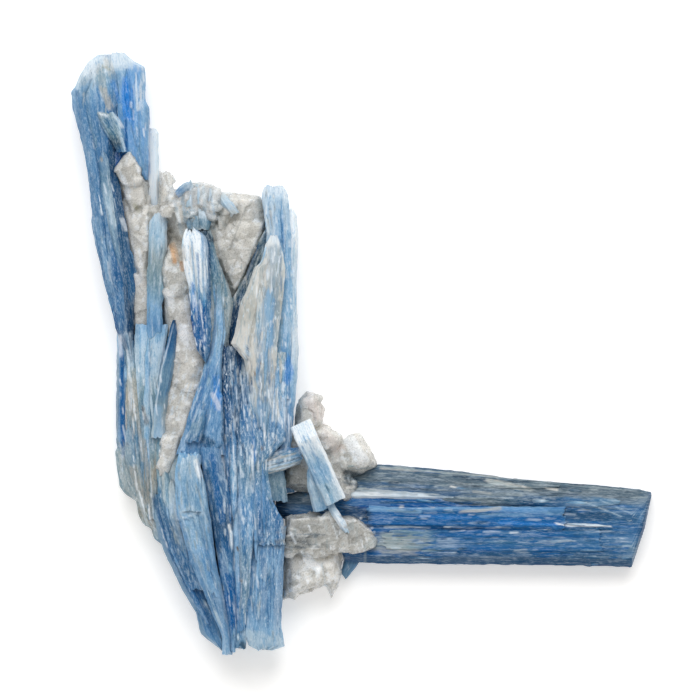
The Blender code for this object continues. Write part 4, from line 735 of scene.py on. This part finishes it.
def flaked(chance, across, along, area):
    """Patches with torn ends where a thin layer is missing or stands proud: height, tone and rims."""
    height, tone, rim = (np.zeros(across.shape) for _ in range(3))
    for _ in range(int(area / FLAKE_AREA)):
        centre_x = chance.uniform(across.min(), across.max())
        centre_y = chance.uniform(along.min(), along.max())
        half_length, half_width = chance.uniform(1.0, 6.5), chance.uniform(0.15, 0.9)
        number = chance.uniform(0, 1000)
        torn = (0.6 + 0.1 * half_length) * lattice(across * 3.0, along * 0.0, number)
        inside_y = half_length + torn - np.abs(along - centre_y)
        wavy = 1.0 + 0.3 * lattice(along * 0.6, across * 0.0, number)
        inside_x = half_width * wavy - np.abs(across - centre_x)
        inside = np.clip(np.minimum(inside_y / 0.25, inside_x / 0.08), 0.0, 1.0)
        height += inside * chance.uniform(-1.0, 0.8) * STEP_HEIGHT * 1.6
        tone += inside * chance.normal(0.0, 0.7)
        rim = np.maximum(rim, np.exp(-(inside_y / 0.3) ** 2) * (inside_x > 0))
    return height, tone, rim


def place_points(spec, along, side, height):
    """Plan positions of a blade, and heights, as points in metres."""
    if spec["turn"]:
        (pivot_x, pivot_y), angle = spec["turn"]
        cosine, sine = math.cos(math.radians(angle)), math.sin(math.radians(angle))
        x = pivot_x + side * cosine + along * sine
        y = pivot_y - side * sine + along * cosine
    elif spec["across"]:
        x, y = along, side
    else:
        x, y = side, along
    return np.stack([x - PLAN_MIDDLE[0], PLAN_MIDDLE[1] - y, height], axis=-1) * MM


def placed(name, data):
    """A new object of the scene."""
    made = bpy.data.objects.new(name, data)
    bpy.context.scene.collection.objects.link(made)
    return made


class Surface:
    """Points, faces and the values that the materials read, gathered from many closed bodies."""

    def __init__(self):
        self.values = {}
        self.faces = []
        self.count = 0

    def add(self, faces, **values):
        """Adds a body, with a value of each kind for each of its points."""
        for kind, value in values.items():
            self.values.setdefault(kind, []).append(value)
        self.faces.extend([[corner + self.count for corner in face] for face in faces])
        self.count += len(values["points"])

    def make_piece(self, name, nodes, material, slot, smooth_below=30.0):
        """Makes a piece of the scene of these bodies, in place of its CAD nodes."""
        values = {kind: np.concatenate(kept) for kind, kept in self.values.items()}
        points = values.pop("points")
        left_out = () if slot.startswith("kyanite") else KYANITE_ONLY
        colour = painted(points, values.pop("colour"), values.pop("exposed"), left_out)
        tint = np.column_stack([np.clip(colour, 0.0, 1.0), np.ones(len(colour))])
        mesh = bpy.data.meshes.new(name)
        mesh.from_pydata(points.tolist(), [], self.faces)
        mesh.attributes.new("tint", "FLOAT_COLOR", "POINT").data.foreach_set("color", tint.ravel())
        for kind, value in values.items():
            mesh.attributes.new(kind, "FLOAT_VECTOR", "POINT").data.foreach_set("vector", value.ravel())
        mesh.materials.append(material)
        mesh.shade_smooth()
        mesh.set_sharp_from_angle(angle=math.radians(smooth_below))
        made = placed(name, mesh)
        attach(made, "root")
        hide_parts(*nodes)


def layered(values, layers):
    """A row of values, once for each layer."""
    return np.repeat(values[None], layers, axis=0)


def add_blade(surface, spec, chance):
    """One blade as a closed body: a stepped, flaked top, layered sides, fibrous ends and an underside."""
    rows = np.array([row if len(row) > 4 else (*row, spec["bed"]) for row in spec["rows"]], dtype=float)
    start, end = rows[0, 0], rows[-1, 0]
    length = end - start
    along = np.linspace(start, end, max(6, round(length / (ROW_STEP * spec["fine"]))) + 1)
    low, high, top, bed = (np.interp(along, rows[:, 0], rows[:, i]) for i in (1, 2, 3, 4))
    seed = chance.uniform(0, 1000)
    rough = 0.14 * min(1.0, (high - low).max() / 2.0)
    low, high = (edge + rough * (0.4 * inward + 0.5 * lattice(along * 0.9, along * 0.0, seed + inward))
                 - inward * stepped(chance, along, rough, 2.0) for edge, inward in ((low, -1), (high, 1)))
    width = high - low
    widest = width.max()

    # The top: its bevels, and strips with steps of their own, on a surface with flakes torn off.
    shares, strips = strip_columns(chance, widest, spec["fine"])
    columns = len(shares)
    side = low[:, None] + shares * width[:, None]
    grown = np.broadcast_to(along[:, None], side.shape)
    slope, offset = np.polyfit(along, (low + high) / 2, 1)
    across = (side - slope * grown - offset) / math.hypot(1.0, slope)
    steps = [stepped(chance, along, STEP_HEIGHT, STEP_RUN) for _ in range(strips[-1] + 1)]
    steps = np.stack(steps)[strips].T
    tones = chance.normal(0.0, 0.45, strips[-1] + 1)[strips]
    torn, flake_tone, rim = flaked(chance, across, grown, length * width.mean())
    deepest = (top - bed) * DEEPEST_BEVEL
    from_low, from_high = shares * width[:, None], (1 - shares) * width[:, None]
    bevel = np.zeros(side.shape)
    for distance, (wide, drop) in zip((from_low, from_high), spec["edges"]):
        wide, drop = np.minimum(wide, width * WIDEST_BEVEL), np.minimum(drop, deepest)
        bevel += drop[:, None] * np.clip(1 - distance / wide[:, None], 0, 1)
    relief = 0.02 * lattice(across * 4.0, grown * 0.4, seed)
    relief += 0.03 * lattice(across * 1.5, grown * 0.15, seed + 5)
    height = top[:, None] + spec["lean"] * (shares - 0.5) - bevel - steps + torn + relief

    # The ends break unevenly, strip by strip.
    reach = min(END_REACH, length * 0.3)
    torn_ends = 0.35 * lattice(shares * widest * 2.2, np.arange(2)[:, None] * 9.5, seed + 7)
    first, last = (chance.uniform(0, 1, strips[-1] + 1)[strips] ** 1.5 * 0.8 + uneven
                   for uneven in torn_ends + 0.2)
    place = (grown + first * spec["ragged"][0] * np.clip(1 - (along - start) / reach, 0, 1)[:, None]
             - last * spec["ragged"][1] * np.clip(1 - (end - along) / reach, 0, 1)[:, None])

    # The sides, down to the bevel at the back, show the edges of the cleavage layers.
    back = np.minimum(np.minimum(spec["back"], width * WIDEST_BEVEL), deepest)
    layers = round(np.clip((top - bed).mean() / LAYER_HEIGHT, 4, 14))
    depth = np.arange(1, layers + 1) / layers
    layer_chance = np.random.default_rng(int(seed * 1000))
    terrace = LEDGE_DEPTH * min(1.0, widest / 4.0) * (layers > 5)

    def wall(edge, column, inward):
        """The points of one side below the top: across the blade, height, along it, and across its grain."""
        ledges = rough * (0.5 + 0.5 * lattice(along[:, None] * 0.2, depth * 9.7, seed + column))
        ledges = ledges + np.stack([stepped(layer_chance, along, terrace, LEDGE_RUN) for _ in depth], axis=1)
        wall_side = edge[:, None] + inward * ledges * (depth < 1)
        wall_height = height[:, column][:, None] * (1 - depth) + (bed + back)[:, None] * depth
        wall_place = np.repeat(place[:, column][:, None], layers, axis=1)
        fallen = height[:, column][:, None] - wall_height
        return wall_side, wall_height, wall_place, across[:, column][:, None] - inward * fallen

    right, left = wall(high, -1, -1), wall(low, 0, 1)
    if spec["bed"] < HIDDEN_BED and not spec["turn"]:
        under = np.linspace(1.0, 0.0, max(3, round(widest / (3 * COLUMN_STEP * spec["fine"]))))
    else:
        under = np.array([1.0, 0.0])
    under_side = (low + back)[:, None] + under * (width - 2 * back)[:, None]
    worn = 0.12 * np.clip(lattice(under_side * 1.3, along[:, None] * 0.12, seed + 8) + 0.3, 0, 1)
    under_height = bed[:, None] + worn * (len(under) > 2)
    under_place = place[:, -1][:, None] * under + place[:, 0][:, None] * (1 - under)
    under_across = right[3][:, -1:] + high[:, None] - under_side
    ring_side, ring_height, ring_place, ring_across = (
        np.concatenate(values, axis=1) for values in zip(
            (side, height, place, across), right, (under_side, under_height, under_place, under_across),
            [part[:, ::-1] for part in left]))
    rings, around = ring_side.shape
    points = [place_points(spec, ring_place, ring_side, ring_height).reshape(-1, 3)]
    index = np.arange(rings * around).reshape(rings, around)
    near, far = index[:-1], index[1:]
    faces = np.stack([near, np.roll(near, -1, axis=1), np.roll(far, -1, axis=1), far], axis=-1)
    faces = faces.reshape(-1, 4).tolist()

    # Colours: the blade's shades along it, its strips and flakes, and its two edges.
    drift = 0.04 * lattice(ring_across * 1.2, ring_place * 0.1, seed + 3)
    drift[:, columns:] *= 2.5
    colour = linear(gradient(spec["shades"], np.clip((ring_place - start) / length + drift, 0, 1)))
    tone = 0.5 * lattice(ring_across * 0.8, ring_place * 0.06, seed + 1)
    tone[:, :columns] += 0.6 * tones + 0.8 * flake_tone
    for first_layer in (columns, around - layers):
        tone[:, first_layer:first_layer + layers] += np.stack(
            [stepped(layer_chance, along, 0.9, TONE_RUN) for _ in depth], axis=1) - 0.45
    own_wall = np.zeros((rings, layers))
    other_wall = np.full((rings, layers), np.inf)
    below = np.full((rings, len(under)), np.inf)
    for name, distances in zip(spec["sides"], ((from_low, other_wall, below, own_wall),
                                               (from_high, own_wall, below, other_wall))):
        if name:
            spread = max(0.5, widest * 0.16)
            fray = 0.3 * lattice(ring_across * 2.5, ring_place * 0.2, seed + 6)
            weight = 0.85 * np.clip(1.5 - np.concatenate(distances, axis=1) / spread + fray, 0, 1)
            colour = mix(colour, linear(PALETTE[name]), weight)
    colour = toned(colour, spec["contrast"] * tone)
    look = np.full((*ring_side.shape, 3), (0.3 * spec["flecks"], spec["contrast"], 0.0))
    look[:, :columns, 0] = spec["flecks"] * (0.6 + 0.8 * rim)
    exposed = np.zeros(ring_side.shape)
    exposed[:, :columns] = 1.0
    grain = np.stack([ring_across, ring_place, np.full(ring_side.shape, seed)], axis=-1)
    colours, grains, looks = ([values.reshape(-1, 3)] for values in (colour, grain, look))

    # The two ends: columns of fibres from the top down, joined to the sides.
    count = rings * around
    for row, outward in ((0, -1), (rings - 1, 1)):
        inner_side = layered(side[row, 1:-1], layers)
        inner_height = height[row, 1:-1] * (1 - depth[:, None]) + (bed[row] + back[row]) * depth[:, None]
        level = place[row, 0] * (1 - shares[1:-1]) + place[row, -1] * shares[1:-1]
        inner_place = place[row, 1:-1] * (1 - depth[:, None]) + level * depth[:, None]
        uneven = chance.uniform(-0.12, 0.12, (4, columns - 2))[np.arange(layers) * 4 // layers]
        inner_place = inner_place + uneven * depth[:, None]
        points.append(place_points(spec, inner_place, inner_side, inner_height).reshape(-1, 3))
        inner = np.arange(inner_side.size).reshape(inner_side.shape) + count
        count += inner_side.size
        left_column = index[row, around - 1:around - 1 - layers:-1]
        right_column = index[row, columns:columns + layers]
        net = np.vstack([index[row, :columns], np.column_stack([left_column, inner, right_column])])
        quads = np.stack([net[:-1, :-1], net[1:, :-1], net[1:, 1:], net[:-1, 1:]], axis=-1).reshape(-1, 4)
        foot = net[-1].tolist() + index[row, columns + layers:around - layers].tolist()
        ends = quads.tolist() + [foot[::-1]]
        faces.extend(ends if row == 0 else [face[::-1] for face in ends])
        colours.append(layered(colour[row, 1:columns - 1], layers).reshape(-1, 3) * 0.9)
        looks.append(layered(look[row, 1:columns - 1], layers).reshape(-1, 3))
        end_grain = (layered(across[row, 1:-1], layers), inner_place + outward * (top[row] - inner_height),
                     np.full(inner_side.shape, seed))
        grains.append(np.stack(end_grain, axis=-1).reshape(-1, 3))
    exposed = np.concatenate([exposed.ravel(), np.tile(np.repeat(depth < 0.3, columns - 2), 2)])
    if spec["across"]:
        faces = [face[::-1] for face in faces]
    surface.add(faces, points=np.concatenate(points), colour=np.concatenate(colours), exposed=exposed,
                grain=np.concatenate(grains), look=np.concatenate(looks))


def splinter_specs(spec, chance):
    """Small flakes and fibres that stand a little above a blade's top."""
    rows = np.array([row[:4] for row in spec["rows"]], dtype=float)
    start, end = rows[0, 0], rows[-1, 0]
    length, mean_width = end - start, float(np.mean(rows[:, 2] - rows[:, 1]))
    made = []
    for _ in range(int(spec["splinters"] * length * mean_width / SPLINTER_AREA)):
        size = min(length * 0.5, chance.uniform(1.5, 8.0))
        place = chance.uniform(start, end - size)
        share, drift = chance.uniform(0.0, 1.0), chance.uniform(-0.02, 0.02)
        wide, rise = chance.uniform(0.15, 0.75), chance.uniform(0.04, 0.14)
        outline = []
        for step, fullness in ((0.0, 0.2), (chance.uniform(0.1, 0.3), 1.0), (chance.uniform(0.6, 0.85), 0.9),
                               (1.0, 0.15)):
            at = place + size * step
            low, high, top = (np.interp(at, rows[:, 0], rows[:, i]) for i in (1, 2, 3))
            here = min(max(share + drift * step, 0.03), 0.97)
            middle = low + (high - low) * here
            half = min(wide, (high - low) * 0.3) * fullness / 2
            lift = top + spec["lean"] * (here - 0.5)
            edge_low, edge_high = spec["edges"]
            lift -= edge_low[1] * max(0, 1 - (middle - low) / edge_low[0])
            lift -= edge_high[1] * max(0, 1 - (high - middle) / edge_high[0])
            outline.append((at, middle - half, middle + half, lift + rise * fullness - 0.04))
        names = spec["shades"].split()
        own = names[min(len(names) - 1, int((place - start) / length * len(names)))]
        other = chance.choice(["silver", "sky", own, own, own, "steel"])
        made.append(blade(outline, min(point[3] for point in outline) - 0.6, f"{own} {other} {own}",
                          edges=((0.1, 0.06), (0.1, 0.06)), across=spec["across"], turn=spec["turn"],
                          contrast=spec["contrast"], flecks=spec["flecks"], ragged=(0.0, 0.0), splinters=0.0,
                          fine=1.3))
    return made


def fan_rocks(chance):
    """Narrow upright lumps at the broken upper edge, side by side and grown together."""
    line = np.array(SPLINTER_FAN)
    made = []
    for number in range(FAN_ROCKS):
        share = chance.uniform(0.0, len(line) - 1.001)
        begin, rest = line[int(share)], share - int(share)
        x, y = begin + (line[int(share) + 1] - begin) * rest
        y += FAN_DEPTH * chance.uniform(0.0, 1.0) ** 1.3
        length, half = chance.uniform(1.0, 3.4), chance.uniform(0.25, 0.6)
        slant = chance.normal(0.06, 0.2) * length
        top = FAN_TOP + chance.uniform(-0.2, 0.7) - 0.3 * max(0.0, FAN_BROW - y)
        outline = [(x - half, y), (x + half * chance.uniform(0.2, 1.0), y + chance.uniform(-0.3, 0.3)),
                   (x + half + slant, y + length * 0.8), (x + slant, y + length),
                   (x - half + slant, y + length * 0.9)]
        made.append(rock(outline, top - 3.4, top, 50 + number, crown=0.9))
    return made


def painted(points, colour, exposed, left_out):
    """The colours after the marks seen from above are laid on, each fraying along its direction."""
    x = points[:, 0] / MM + PLAN_MIDDLE[0]
    y = PLAN_MIDDLE[1] - points[:, 1] / MM
    for number, (name, strength, width, *line) in enumerate(MARKS):
        line = np.array(line, dtype=float).reshape(-1, 2)
        (left, top), (right, bottom) = line.min(axis=0), line.max(axis=0)
        if name in left_out or x.min() >= right or x.max() <= left or y.min() >= bottom or y.max() <= top:
            continue
        reach = width * 1.2
        near = ((x > left - reach) & (x < right + reach) & (y > top - reach) & (y < bottom + reach)
                & (exposed > 0.5))
        if not near.any():
            continue
        px, py = x[near], y[near]
        nearest = np.full(px.shape, np.inf)
        for (ax, ay), (bx, by) in zip(line, line[1:]):
            dx, dy = bx - ax, by - ay
            share = np.clip(((px - ax) * dx + (py - ay) * dy) / (dx * dx + dy * dy), 0, 1)
            nearest = np.minimum(nearest, np.hypot(px - ax - share * dx, py - ay - share * dy))
        dx, dy = line[-1] - line[0]
        span = math.hypot(dx, dy)
        along, side = (px * dx + py * dy) / span, (px * dy - py * dx) / span
        fray = lattice(side * 2.6, along * 0.35, number) + 0.5 * lattice(side * 5.0, along * 0.9, number)
        weight = strength * np.clip((1.1 - nearest / (width / 2) + 0.45 * fray) * 1.6, 0, 1)
        colour[near] = mix(colour[near], linear(PALETTE[name]), weight)
    return colour


def kyanite_piece(name, node, specs, material, slot, seed):
    """One piece of the scene from a list of blades and their splinters."""
    chance = np.random.default_rng(seed)
    surface = Surface()
    for spec in specs:
        add_blade(surface, spec, chance)
        for flake in splinter_specs(spec, chance):
            add_blade(surface, flake, chance)
    surface.make_piece(name, [node], material, slot)


def rock_shape(shape, spec):
    """Adds one lump to a bmesh: the hull of its girth and of its smaller, uneven crown and foot."""
    chance = random.Random(spec["seed"])
    outline, low, high = spec["outline"], spec["low"], spec["high"]
    middle_x = sum(x for x, _ in outline) / len(outline)
    middle_y = sum(y for _, y in outline) / len(outline)
    corners = []
    for x, y in outline:
        girth = low + (high - low) * chance.uniform(0.35, 0.6)
        for height, share in ((girth, 1.0), (high - (high - low) * chance.uniform(0.0, 0.16), None),
                              (low + (high - low) * chance.uniform(0.0, 0.16), None)):
            share = share or spec["crown"] * chance.uniform(0.85, 1.12)
            corners.append((middle_x + (x - middle_x) * share - PLAN_MIDDLE[0],
                            PLAN_MIDDLE[1] - middle_y - (y - middle_y) * share, height))
    hull_shape(shape, corners)


def hull_shape(shape, corners):
    """Adds the convex hull of some corners, in millimetres, to a bmesh."""
    made = [shape.verts.new(Vector(corner) * MM) for corner in corners]
    hull = bmesh.ops.convex_hull(shape, input=made)
    spare = hull["geom_interior"] + hull["geom_unused"]
    inside = {item for item in spare if isinstance(item, bmesh.types.BMVert)}
    bmesh.ops.delete(shape, geom=list(inside), context="VERTS")


def cells(points, size, seed):
    """For each point, the height of its grain's tilted facet there, the grain's random value, and how far
    away its border is."""
    corner = np.floor(points / size)
    best, second = np.full(len(points), np.inf), np.full(len(points), np.inf)
    centre, chosen = np.zeros(points.shape), np.zeros(points.shape)
    for step in product((-1, 0, 1), repeat=3):
        cell = corner + step
        spot = (cell + np.stack([scatter(*cell.T, seed + i) for i in range(3)], axis=1)) * size
        distance = ((points - spot) ** 2).sum(axis=1)
        second = np.minimum(second, np.maximum(distance, best))
        closer = distance < best
        best[closer], centre[closer], chosen[closer] = distance[closer], spot[closer], cell[closer]
    tilt = np.stack([scatter(*chosen.T, seed + 10 + i) for i in range(3)], axis=1) * 2 - 1
    tilt /= np.linalg.norm(tilt, axis=1)[:, None]
    height = ((points - centre) * tilt).sum(axis=1)
    return height, scatter(*chosen.T, seed + 20), np.sqrt(second) - np.sqrt(best)


def quartz_piece(name, node, rocks, material, seed, blocks, block_area, bury, rough):
    """A mass of quartz grown together from its lumps, with blocks and faceted grains all over it. blocks are
    the least and greatest size of the blocks, block_area the square millimetres of surface for each, bury
    how deep they sit, of their size, and rough how strongly the small grains show."""
    chance = random.Random(seed)
    shape = bmesh.new()
    for spec in rocks:
        rock_shape(shape, spec)
    faces = list(shape.faces)
    areas = [face.calc_area() for face in faces]
    spots = []
    for face in chance.choices(faces, areas, k=int(sum(areas) / MM ** 2 / block_area)):
        a, b, c = (vertex.co for vertex in face.verts[:3])
        u, v = sorted((chance.random(), chance.random()))
        spots.append(((a * u + b * (v - u) + c * (1 - v)) / MM, face.normal.copy()))
    for spot, normal in spots:
        size = chance.uniform(*blocks)
        corners = []
        for _ in range(10):
            direction = Vector((chance.gauss(0, 1), chance.gauss(0, 1), chance.gauss(0, 1))).normalized()
            corners.append(spot - normal * size * bury + direction * size * chance.uniform(0.85, 1.0))
        hull_shape(shape, corners)
    mesh = bpy.data.meshes.new(name + "_raw")
    shape.to_mesh(mesh)
    shape.free()
    raw = placed(name + "_raw", mesh)
    remesh = raw.modifiers.new("grow", "REMESH")
    remesh.mode = "VOXEL"
    remesh.voxel_size = VOXEL * MM
    soften = raw.modifiers.new("soften", "SMOOTH")
    soften.factor = 0.5
    soften.iterations = 2
    grown = bpy.data.meshes.new_from_object(raw.evaluated_get(bpy.context.evaluated_depsgraph_get()))
    bpy.data.objects.remove(raw)

    points = np.empty(len(grown.vertices) * 3)
    grown.vertices.foreach_get("co", points)
    points = points.reshape(-1, 3) / MM
    normals = np.array([vertex.normal[:] for vertex in grown.vertices])

    # The facets of the grains.
    large, large_value, large_border = cells(points, LARGE_GRAIN, seed)
    small, small_value, small_border = cells(points, SMALL_GRAIN, seed + 40)
    depth = 0.13 * large + 0.09 * rough * small
    points = points + normals * np.clip(depth, -0.3, 0.25)[:, None]

    # Each grain has a tone of its own, darker where its facet sinks in, as painted shade in the pits.
    # Pale lines along some grain borders are painted highlights on the grains' edges; darker lines run along
    # others.
    tone = 0.6 * (large_value - 0.5) + 0.5 * rough * (small_value - 0.5) + 0.5 * depth
    colour = linear(mix(np.tile(PALETTE["milk"], (len(points), 1)), PALETTE["smoke"], 0.15 - 0.8 * tone))
    large_border_line = np.clip(1.2 - large_border / 0.25, 0, 1)
    small_border_line = np.clip(1.0 - small_border / 0.2, 0, 1)
    border_line = np.maximum(large_border_line, rough * small_border_line) * (0.3 + 0.7 * rough)
    # Pale lines on grain borders: painted highlights on the grains' edges.
    colour = mix(colour, linear(PALETTE["white"]), 0.7 * border_line * (small_value > 0.55))
    colour = mix(colour, linear(PALETTE["smoke"]), 0.5 * border_line * (small_value < 0.25))
    # A few grains made whiter: painted glints.
    sparkle = (small_value > 0.94) | (large_value > 0.97)
    colour[sparkle] = mix(colour[sparkle], linear(PALETTE["white"]), np.full(sparkle.sum(), 0.5))
    surface = Surface()
    surface.add([list(polygon.vertices) for polygon in grown.polygons], points=points * MM, colour=colour,
                exposed=np.ones(len(points)), grain=points)
    bpy.data.meshes.remove(grown)
    surface.make_piece(name, [node], material, "quartz", smooth_below=26.0)


class Shading:
    """A material's nodes, each added with its inputs joined to other nodes or set."""

    def __init__(self, name):
        self.material = bpy.data.materials.new(name)
        self.material.use_nodes = True
        self.tree = self.material.node_tree

    def feed(self, node, inputs):
        """Joins or sets some inputs of a node."""
        for key, value in inputs.items():
            if isinstance(value, bpy.types.NodeSocket):
                self.tree.links.new(value, node.inputs[key])
            else:
                node.inputs[key].default_value = value

    def add(self, kind, inputs, output=0, **settings):
        """One output of a new node."""
        node = self.tree.nodes.new("ShaderNode" + kind)
        for key, value in settings.items():
            setattr(node, key, value)
        self.feed(node, inputs)
        return node.outputs[output]

    def attribute(self, name, output="Vector"):
        return self.add("Attribute", {}, output, attribute_name=name)

    def math(self, operation, *values, clamp=False):
        return self.add("Math", dict(enumerate(values)), operation=operation, use_clamp=clamp)

    def vector(self, operation, *values):
        return self.add("VectorMath", dict(enumerate(values)), operation=operation)

    def noise(self, place, scale, detail, roughness=0.7):
        inputs = {"Vector": place, "Scale": scale, "Detail": detail, "Roughness": roughness}
        return self.add("TexNoise", inputs, "Fac")

    def mixed(self, factor, first, second):
        """Two colours mixed."""
        return self.add("Mix", {0: factor, 6: first, 7: second}, 2, data_type="RGBA")

    def ranged(self, value, low, high):
        """A value spread so that low becomes 0 and high 1."""
        return self.add("MapRange", {"Value": value, "From Min": low, "From Max": high}, "Result")

    def bump(self, height, strength):
        return self.add("Bump", {"Height": height, "Strength": strength, "Distance": 0.1 * MM}, "Normal")

    def made(self, inputs):
        """The material, with these inputs of its surface."""
        self.feed(self.tree.nodes["Principled BSDF"], inputs)
        return self.material


def kyanite_material(name, shortness=1.0):
    """Streaked blue crystal: the blade's own tint, with fibres, cracks and pale flecks along its grain."""
    shading = Shading(name)
    tint = shading.attribute("tint", "Color")
    grain = shading.attribute("grain")
    flecks, contrast = (shading.add("SeparateXYZ", {0: shading.attribute("look")}, axis) for axis in "XY")

    def streaks(across, along, detail):
        stretched = shading.vector("MULTIPLY", grain, (across, along * shortness, 1.0))
        return shading.noise(stretched, 1.0, detail)

    fibres = streaks(4.0, 0.7, 3.0)
    total = 0.0
    for value, weight in ((streaks(0.8, 0.08, 4.0), 3.5), (streaks(2.4, 0.3, 4.0), 3.0), (fibres, 3.5),
                          (streaks(2.8, 1.3, 4.0), 3.5), (streaks(6.0, 2.2, 2.0), 4.0)):
        total = shading.math("MULTIPLY_ADD", value, weight, total)
    strength = shading.math("MULTIPLY", shading.math("SUBTRACT", total, 8.7), contrast)
    deeper = shading.vector("MULTIPLY", tint, DEEPER)
    shaded = shading.mixed(shading.ranged(strength, 0.0, -1.0), tint, deeper)
    paler = shading.vector("MULTIPLY_ADD", tint, (0.7, 0.7, 0.7), MILKY * 0.55)
    cloud = shading.math("MULTIPLY", shading.ranged(strength, 0.0, 1.0), 0.8, clamp=True)
    shaded = shading.mixed(cloud, shaded, paler)
    flake = shading.math("MULTIPLY", shading.ranged(streaks(3.0, 0.7, 3.0), 0.58, 0.63), flecks, clamp=True)
    shaded = shading.mixed(flake, shaded, (*(MILKY * 1.12), 1.0))
    crack = shading.math("MULTIPLY", shading.ranged(streaks(3.0, 0.5, 3.0), 0.38, 0.33), 0.4, clamp=True)
    shaded = shading.mixed(crack, shaded, shading.vector("MULTIPLY", shaded, DEEPER))
    return shading.made({
        "Base Color": shaded, "Roughness": shading.math("MULTIPLY_ADD", fibres, 0.4, 0.2),
        "Normal": shading.bump(fibres, 0.4), "IOR": 1.5, "Specular IOR Level": 0.1,
        "Subsurface Weight": 0.5, "Subsurface Radius": (0.25, 0.25, 0.25), "Subsurface Scale": MM})


def quartz_material():
    """Milky quartz: partly see-through grains, with cloudy and clear places and sugary fine crystals."""
    shading = Shading("quartz")
    tint = shading.attribute("tint", "Color")
    place = shading.attribute("grain")
    sugar = shading.noise(place, 3.0, 4.0)
    cloud = shading.math("MULTIPLY_ADD", shading.noise(place, 0.5, 3.0, 0.5), 0.8, -0.6)
    factor = shading.math("EXPONENT", shading.math("MULTIPLY_ADD", sugar, 0.5, cloud))
    shaded = shading.add("VectorMath", {0: tint, "Scale": factor}, operation="SCALE")
    shaded = shading.mixed(shading.ranged(sugar, 0.62, 0.74), shaded, (0.88, 0.90, 0.91, 1.0))
    return shading.made({
        "Base Color": shaded, "Roughness": shading.math("MULTIPLY_ADD", sugar, 0.5, 0.05),
        "Normal": shading.bump(sugar, 0.2), "IOR": 1.54, "Transmission Weight": 0.12,
        "Subsurface Weight": 0.9, "Subsurface Radius": (4.0, 3.8, 3.6), "Subsurface Scale": MM})


def stage_and_light():
    """A plain white floor, a wide soft light from the picture's upper edge, and the camera above."""
    bpy.ops.mesh.primitive_plane_add(size=6.0, location=(0.0, 0.0, -FLOOR_GAP))
    floor = bpy.context.object
    floor.name = "floor"
    floor.data.materials.append(Shading("paper").made({
        "Base Color": (0.95, 0.95, 0.95, 1.0), "Roughness": 1.0, "Specular IOR Level": 0.0,
        "Emission Color": (1.0, 0.97, 0.93, 1.0), "Emission Strength": 0.3}))

    world = bpy.data.worlds.new("studio")
    bpy.context.scene.world = world
    world.use_nodes = True
    world_inputs = world.node_tree.nodes["Background"].inputs
    world_inputs["Color"].default_value = (1.0, 0.985, 0.965, 1.0)
    world_inputs["Strength"].default_value = 0.6

    key = bpy.data.lights.new("key", "SUN")
    key.angle = math.radians(40.0)
    key.energy = 1.72
    placed("key", key).rotation_euler = Vector(SUN_DIRECTION).to_track_quat("-Z", "Y").to_euler()

    lens = bpy.data.cameras.new("camera")
    lens.sensor_width = SENSOR_WIDTH
    lens.lens = SENSOR_WIDTH * CAMERA_HEIGHT / (PICTURE_WIDTH * MM)
    lens.clip_end = 10.0
    camera = placed("camera", lens)
    camera.location = ((PICTURE_MIDDLE[0] - PLAN_MIDDLE[0]) * MM, (PLAN_MIDDLE[1] - PICTURE_MIDDLE[1]) * MM,
                       CAMERA_HEIGHT)
    bpy.context.scene.camera = camera
    bpy.context.scene.view_settings.view_transform = "Standard"


stage_and_light()
kyanite = kyanite_material("kyanite")
kyanite_long = kyanite_material("kyanite_long_streaks", shortness=0.4)
quartz = quartz_material()
kyanite_piece("bundle_back", "kyanite_bundle", BACK, kyanite, "kyanite", 11)
kyanite_piece("bundle_tall_blade", "kyanite_bundle", TALL, kyanite, "kyanite", 12)
kyanite_piece("bundle_left", "kyanite_bundle", LEFT, kyanite, "kyanite", 13)
kyanite_piece("bundle_middle", "kyanite_bundle", MIDDLE, kyanite, "kyanite", 14)
kyanite_piece("bundle_right", "kyanite_bundle", RIGHT + STUB, kyanite, "kyanite", 15)
kyanite_piece("side_blade", "kyanite_side_blade", SIDE, kyanite_long, "kyanite_dark", 16)
kyanite_piece("small_prism", "kyanite_small_prism", PRISM, kyanite, "kyanite_pale", 17)
kyanite_piece("vein_splinters", "quartz_vein", SPLINTERS, kyanite, "kyanite_pale", 18)
quartz_piece("vein", "quartz_vein", VEIN + fan_rocks(np.random.default_rng(19)), quartz, 31,
             blocks=(0.9, 2.2), block_area=14.0, bury=0.9, rough=0.35)
quartz_piece("junction_upper", "quartz_junction_upper", UPPER_KNOBS, quartz, 32,
             blocks=(1.0, 2.4), block_area=14.0, bury=0.86, rough=0.25)
quartz_piece("junction_lower", "quartz_junction_lower", LOWER_CRUST, quartz, 107,
             blocks=(0.7, 2.0), block_area=5.0, bury=0.62, rough=0.8)
kyanite_piece("junction_splinter", "quartz_junction_lower", CRUST_SPLINTER, kyanite, "kyanite_pale", 20)
